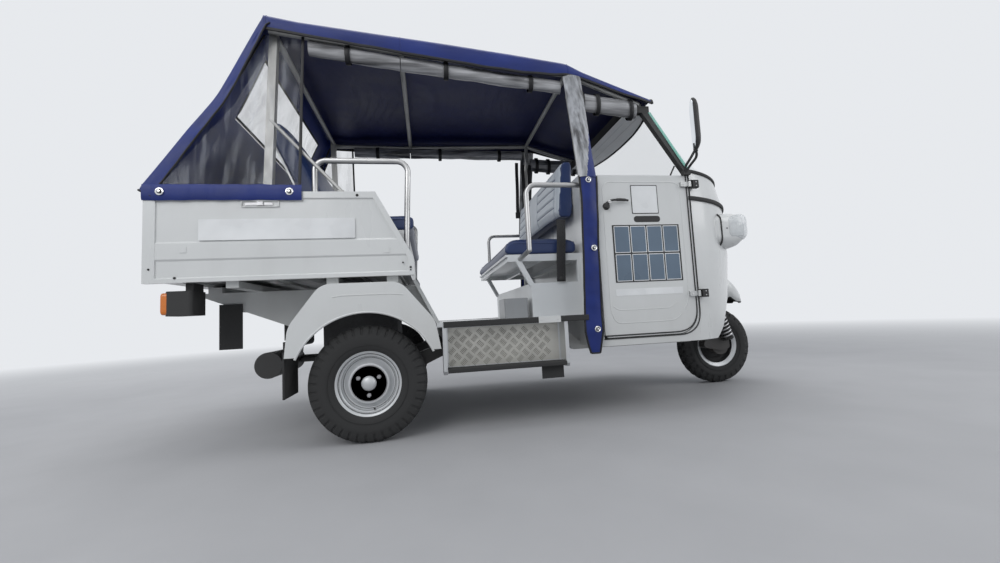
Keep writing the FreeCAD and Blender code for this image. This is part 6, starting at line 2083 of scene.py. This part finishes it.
@dataclass
class SoftTop:
    """The canopy with its valances, rear cover, curtains and tubes."""

    halves: Table = ((-0.42, 0.697), (0.185, 0.632), (1.09, 0.535), (1.6, 0.505))
    tops: Table = ((-0.42, 1.967), (-0.28, 1.955), (0.05, 1.948), (0.42, 1.941), (0.82, 1.928), (1.06, 1.917),
                   (1.09, 1.912), (1.17, 1.877), (1.35, 1.82), (1.6, 1.742))
    hems: Table = ((-0.42, 1.893), (-0.217, 1.876), (0.05, 1.862), (0.34, 1.843), (0.65, 1.828),
                   (0.81, 1.825), (0.99, 1.832), (1.08, 1.84), (1.166, 1.826), (1.255, 1.8),
                   (1.437, 1.749), (1.6, 1.712))
    roll_lows: Table = ((-0.24, 1.8), (-0.064, 1.79), (0.342, 1.772), (0.903, 1.745), (1.045, 1.745))
    corner: float = 0.03
    slope: Table = ((1.122, -0.888), (1.186, -0.845), (1.292, -0.777), (1.4, -0.709), (1.474, -0.657),
                    (1.549, -0.607), (1.6, -0.583), (1.7, -0.538), (1.777, -0.505), (1.87, -0.464),
                    (1.967, -0.42))
    low_half: float = 0.742
    band: float = 0.012
    window: tuple[float, float, float] = (0.505, 1.545, 1.85)
    strip_seam: float = 1.208
    strip_rise: float = 0.628
    camber: float = 0.006
    roll_turns: float = 2.2
    curtain_front: float = -0.26

    def build(self) -> None:
        """Makes the whole soft top."""
        dress_nodes(CANOPY_TUBE, "canopy_frame")
        self.build_roof()
        self.build_rear_cover()
        for side in Side:
            self.build_curtain(side)
            self.build_band(side)
            self.build_rolls(side)
            self.build_strip(side)
        self.build_eyelets()

    def section(self, x: float, lift: float = 0.0, inset: float = 0.0) -> list[Vector]:
        """Cross section of the roof at one place, from the right hem over the top to the left.

        Args:
            x: The place ahead of the rear axle.
            lift: How much higher the section lies.
            inset: How far inside the cover it lies.

        Returns:
            The section's points.
        """
        half = read_table(self.halves, x) - inset
        top = read_table(self.tops, x) + lift
        low = read_table(self.hems, x)
        corner = self.corner
        made = []
        drops = 7
        for k in range(drops):
            share = k / (drops - 1)
            level = low + (top - corner - low) * share
            wave = 0.005 * (1 - share) * noise.noise(Vector((x * 9.0, 3.1, level * 4.0)))
            made.append(at(x, -half + wave - 0.003 * math.sin(math.pi * share), level))
        for k in range(1, 7):
            angle = math.radians(15 * k)
            made.append(at(x, -half + corner * (1 - math.cos(angle)), top - corner * (1 - math.sin(angle))))
        for k in range(1, 10):
            share = k / 10
            sag = 0.003 * noise.noise(Vector((x * 3.0, share * 2.0, 7.7)))
            rise = self.camber * math.sin(math.pi / 2 * share)
            made.append(at(x, (-half + corner) * (1 - share), top + rise + sag))
        left = [Vector((point.x, -point.y, point.z)) for point in reversed(made)]
        return made + [at(x, 0.0, top + self.camber)] + left

    def build_roof(self) -> None:
        """The top with hanging valances, its lining in darker navy as painted shade, seams and dark piping
        along its hems.
        """
        places = spread(self.halves[0][0], self.halves[-1][0], 130)
        rows = [self.section(x) for x in places]
        form = Form().skin(rows, around=False)
        roof = make_piece("roof_cover", form, CANOPY, stands_for=("canopy_cover",))
        # The lining is a darker navy sheet just inside the cover: painted shade.
        lining = Form().skin([self.section(x, -0.004, 0.003) for x in places], around=False)
        under = make_piece("roof_lining", lining, SHADED_CANOPY_INSIDE)
        piping = Form()
        piping.sweep([row[0] for row in rows], round_box(0.006, 0.014, 0.002, 2), up=UPWARD)
        piping.both_sides()
        piping.tube([point.copy() for point in rows[-1]], 0.006, 6)
        edging = make_piece("roof_piping", piping, HEM_BLACK, sharp=60)
        seams = Form()
        for x in (-0.41, 0.185, 1.085):
            seams.tube([point + Vector((0, 0, 0.0005)) for point in self.section(x)], 0.0018, 5)
        stitches = make_piece("roof_seams", seams, CANOPY, sharp=60)

    def build_rear_cover(self) -> None:
        """The sloped rear cover with its clear window, folded round its sides."""
        low_z, top_z = self.slope[0][0], self.slope[-1][0]
        top_half = self.halves[0][1]
        inward = Vector((top_z - low_z, 0, self.slope[0][1] - self.slope[-1][1])).normalized()
        half_window, low_window, high_window = self.window

        def middle_of(z: float) -> Vector:
            """The cover's middle at a height, its bends eased."""
            eased = sum(read_table(self.slope, z + step) for step in (-0.03, -0.015, 0.0, 0.015, 0.03)) / 5
            return at(eased, 0, z) - inward * 0.004

        rows = []
        for share in spread(0.0, 1.0, 61):
            half = top_half + (self.low_half - top_half) * share
            centre = middle_of(top_z + (low_z - top_z) * share)
            corner = self.corner * (1 - 0.5 * share)
            fold = corner + self.band + 0.035 * share
            shoulder = corner * max(0.0, 1 - share / 0.05)
            edge = []
            for k in range(5):
                depth = fold + (corner - fold) * k / 5
                ripple = 0.003 * noise.noise(Vector((share * 14, k * 0.3, 0.5)))
                edge.append(centre + inward * depth + Vector((0, -half + ripple, 0)))
            for k in range(7):
                angle = math.radians(15 * k)
                edge.append(centre + inward * (corner * (1 - math.sin(angle)))
                            + Vector((0, -half + corner * (1 - math.cos(angle)), 0)))
            for k in range(1, 12):
                beside = -half + corner + (half - corner - half_window) * k / 5
                y = beside if k <= 5 else -half_window * (1 - (k - 5) / 7)
                edge.append(centre + Vector((0, y, 0)))
            for point in edge:
                past = min(1.0, max(0.0, (abs(point.y) - half + corner) / corner))
                point.z -= shoulder * (1 - math.sqrt(1 - past * past))
            left = [Vector((point.x, -point.y, point.z)) for point in reversed(edge)]
            rows.append(edge + [Vector((centre.x, 0, centre.z))] + left)
        form = Form().skin(rows, around=False)
        clear = []
        for k, middle in enumerate(form.middles()):
            inside = abs(middle.y) < half_window and low_window < middle.z < high_window
            form.marks[k] = 1 if inside else 0
            if inside:
                clear.append(middle.z)
        cover = make_piece("rear_cover", form, (CANOPY, CLEAR_SHEET))
        piping = Form()
        piping.tube([row[0] for row in rows], 0.004, 6)
        piping.both_sides()
        piping.tube([point.copy() for point in rows[-1]], 0.005, 6)
        steps = spread(min(clear), max(clear), 9)
        frame = [Vector((0, -half_window, 0)) + middle_of(z) for z in steps]
        frame += [Vector((0, half_window, 0)) + middle_of(z) for z in reversed(steps)]
        piping.sweep(frame, round_box(0.014, 0.003, 0.001, 1), up=inward, loop=True)
        edging = make_piece("rear_cover_piping", piping, HEM_BLACK, sharp=60)

    def build_curtain(self, side: Side) -> None:
        """A clear curtain behind the rear post, with dark edges.

        Args:
            side: The side that it is on.
        """
        def rear_x(z: float) -> float:
            """The curtain's rear edge at a height."""
            return read_table(self.slope, z) + 0.03

        rows = []
        for z in spread(1.1, 1.885, 34):
            row = []
            for share in spread(0.0, 1.0, 26):
                x = rear_x(z) + (self.curtain_front - rear_x(z)) * share
                wave = 0.007 * noise.noise(Vector((x * 7, z * 4, 1.7))) * math.sin(math.pi * share)
                row.append(at(x, side.value * (0.742 - 0.085 * (z - 1.116) / 0.764 + wave), z))
            rows.append(row)
        form = Form().skin(rows, around=False)
        curtain = make_piece("clear_curtain_" + side.label, form, CLEAR_SHEET,
                             stands_for=("rear_curtains",))
        edge = Form()
        edge.sweep([row[-1] for row in rows], round_box(0.004, 0.013, 0.0015, 2), up=FORWARD)
        edge.sweep([row[0] for row in rows], round_box(0.004, 0.009, 0.0015, 2), up=FORWARD)
        edging = make_piece("curtain_piping_" + side.label, edge, HEM_BLACK, sharp=60)

    def build_band(self, side: Side) -> None:
        """The navy band that buttons a curtain to the box side.

        Args:
            side: The side that it is on.
        """
        rows = []
        for x in spread(-0.868, -0.25, 60):
            ripple = 0.004 * noise.noise(Vector((x * 16, 0.2, 0.9)))
            fold = 0.003 * noise.noise(Vector((x * 40, 1.2, 3.9)))
            row = []
            for z, out in ((1.076, 0.745), (1.085, 0.748), (1.1, 0.7495), (1.122, 0.749), (1.14, 0.747),
                           (1.145, 0.744)):
                row.append(at(x, side.value * (out - ripple - fold), z + ripple))
            rows.append(row)
        form = Form().skin(rows, around=False)
        band = make_piece("navy_band_" + side.label, form, CANOPY, stands_for=("curtain_bands",))

    def build_rolls(self, side: Side) -> None:
        """Side curtains rolled up under the roof's edges and held by black straps.

        Args:
            side: The side that it is on.
        """
        steps = 44
        straps = Form()
        runs = (("rear", -0.24, 0.18, (-0.065,)), ("middle", 0.185, 1.045, (0.41, 0.87)),
                ("front", 1.12, 1.5, (1.165, 1.26, 1.465)))
        for name, start, end, ties in runs:
            front = name == "front"
            reach = (0.034, 0.056) if front else (0.03, 0.041)

            def middle(x: float, front: bool = front) -> Vector:
                """The roll's middle at a place.

                Args:
                    x: The place ahead of the rear axle.
                    front: Whether the roll is the front one.

                Returns:
                    The middle.
                """
                sag = 0.006 * noise.noise(Vector((x * 6, 0, 2.2)))
                z = 1.703 - 0.1 * (x - 1.2) if front else read_table(self.roll_lows, x) + 0.041
                return at(x, side.value * (read_table(self.halves, x) - (0.035 if front else 0.046)), z + sag)

            rows = []
            for x in spread(start, end, 30):
                centre = middle(x)
                swell = 1.0 + 0.1 * noise.noise(Vector((x * 11, 4, 0)))
                row = []
                for k in range(steps + 1):
                    share = k / steps
                    angle = math.pi / 2 + 2 * math.pi * self.roll_turns * share
                    grow = (0.5 + 0.5 * share) * swell * (1 + 0.05 * math.sin(3 * angle + 5 * x))
                    row.append(centre + Vector((0, side.value * reach[0] * grow * math.cos(angle),
                                                reach[1] * grow * math.sin(angle))))
                rows.append(row)
            form = Form().skin(rows, around=False)
            roll = make_piece("rolled_curtain_%s_%s" % (name, side.label), form, ROLLED,
                              stands_for=("curtain_rolls",), sharp=60)
            for x in ties:
                loop = [middle(x) + Vector((0, math.cos(turn) * (reach[0] + 0.004),
                                            math.sin(turn) * (reach[1] + 0.005))) for turn in turns(24)]
                straps.sweep(loop, round_box(0.003, 0.024, 0.001, 1), up=FORWARD, loop=True)
        make_piece("roll_straps_" + side.label, straps, HEM_BLACK, sharp=50)

    def build_strip(self, side: Side) -> None:
        """A narrow side curtain in front of the passengers: clear above, navy below.

        Args:
            side: The side that it is on.
        """
        rears: Table = ((0.318, 1.046), (0.36, 1.034), (0.43, 1.022), (0.88, 1.042), (1.1, 1.05),
                        (1.21, 1.045))
        fronts: Table = ((0.318, 1.088), (0.43, 1.112), (0.88, 1.122), (1.1, 1.133), (1.21, 1.137))
        rows = []
        for z in spread(0.325, self.strip_seam, 60):
            rear, front = read_table(rears, z), read_table(fronts, z)
            row = []
            for share in spread(0.0, 1.0, 9):
                x = rear + (front - rear) * share
                ripple = 0.006 * noise.noise(Vector((x * 14, z * 7, 0.3)))
                fold = 0.004 * noise.noise(Vector((x * 25 + z * 9, z * 14, 2.3)))
                row.append(at(x, side.value * (0.699 - ripple - fold + 0.006 * math.sin(math.pi * share)), z))
            rows.append(row)
        form = Form().skin(rows, around=False)
        strip = make_piece("side_strip_" + side.label, form, CANOPY, stands_for=("curtain_bands",))
        edge = Form()
        for column in (0, -1):
            edge.sweep([row[column] for row in rows], round_box(0.006, 0.01, 0.002, 2), up=FORWARD)
        edge.sweep([point.copy() for point in rows[0]], round_box(0.005, 0.008, 0.002, 2), up=UPWARD)
        edging = make_piece("strip_piping_" + side.label, edge, HEM_BLACK, sharp=60)
        clear = Form()
        rows = []
        for z in spread(self.strip_seam - 0.006, 1.836, 40):
            share_up = (z - self.strip_seam) / self.strip_rise
            y = 0.698 - 0.165 * share_up
            rear, front = 1.041 + 0.012 * share_up, 1.134 + 0.024 * share_up
            row = []
            for share in spread(0.0, 1.0, 21):
                x = rear + (front - rear) * share
                ripple = 0.009 * noise.noise(Vector((x * 22, z * 3, 5.3)))
                row.append(at(x, side.value * (y - ripple + 0.014 * math.sin(math.pi * share)), z))
            rows.append(row)
        clear.skin(rows, around=False)
        for k, middle in enumerate(clear.middles()):
            share_up = (middle.z - self.strip_seam) / self.strip_rise
            front = ahead(1.134 + 0.024 * share_up)
            clear.marks[k] = 1 if front - middle.x < 0.05 * (1 - (middle.z - self.strip_seam) / 0.26) else 0
        sheet = make_piece("side_strip_clear_" + side.label, clear, (STRIP_SHEET, CANOPY),
                           stands_for=("rear_curtains",))

    def build_eyelets(self) -> None:
        """Pressed eyelets with turn buttons on the bands and strips."""
        form = Form()
        for x in (-0.799, -0.299):
            form.join(self.eyelet(at(x, -0.7515, 1.112), RIGHTWARD))
        for x, z in ((1.088, 1.186), (1.094, 0.84), (1.083, 0.44)):
            form.join(self.eyelet(at(x, -0.7085, z), RIGHTWARD, 0.0155))
        form.both_sides()
        make_piece("turn_buttons", form, (CHROME, BLACK_PLASTIC))

    def eyelet(self, spot: Vector, outward: Vector, radius: float = 0.016) -> Form:
        """A pressed metal eyelet with its turn button.

        Args:
            spot: Its middle.
            outward: Where it faces.
            radius: Its radius.

        Returns:
            The eyelet.
        """
        form = Form()
        form.turn([(-0.004, radius * 0.62), (0.001, radius), (0.0025, radius * 0.92), (0.003, radius * 0.75),
                   (0.0015, radius * 0.6), (-0.004, radius * 0.6)], spot, outward, 28)
        form.mark = 1
        form.turn([(-0.001, 0.0), (-0.001, radius * 0.6), (0.0, radius * 0.6), (0.0, 0.0)], spot, outward, 20)
        form.mark = 0
        form.turn([(0.0, 0.0), (0.0, radius * 0.3), (0.006, radius * 0.34), (0.007, 0.0)], spot, outward, 14)
        return form


def main() -> None:
    """Loads the frame, then builds and dresses every sub-assembly."""
    global VEHICLE
    logging.basicConfig(level=logging.INFO, format="%(message)s")
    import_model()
    VEHICLE = Vehicle()
    for part in (Studio(), Wheels(), LoadBed(), Underbody(), Platform(), Cab(), Seats(), SoftTop()):
        LOG.info("building %s", type(part).__name__)
        part.build()


if __name__ == "__main__":
    main()
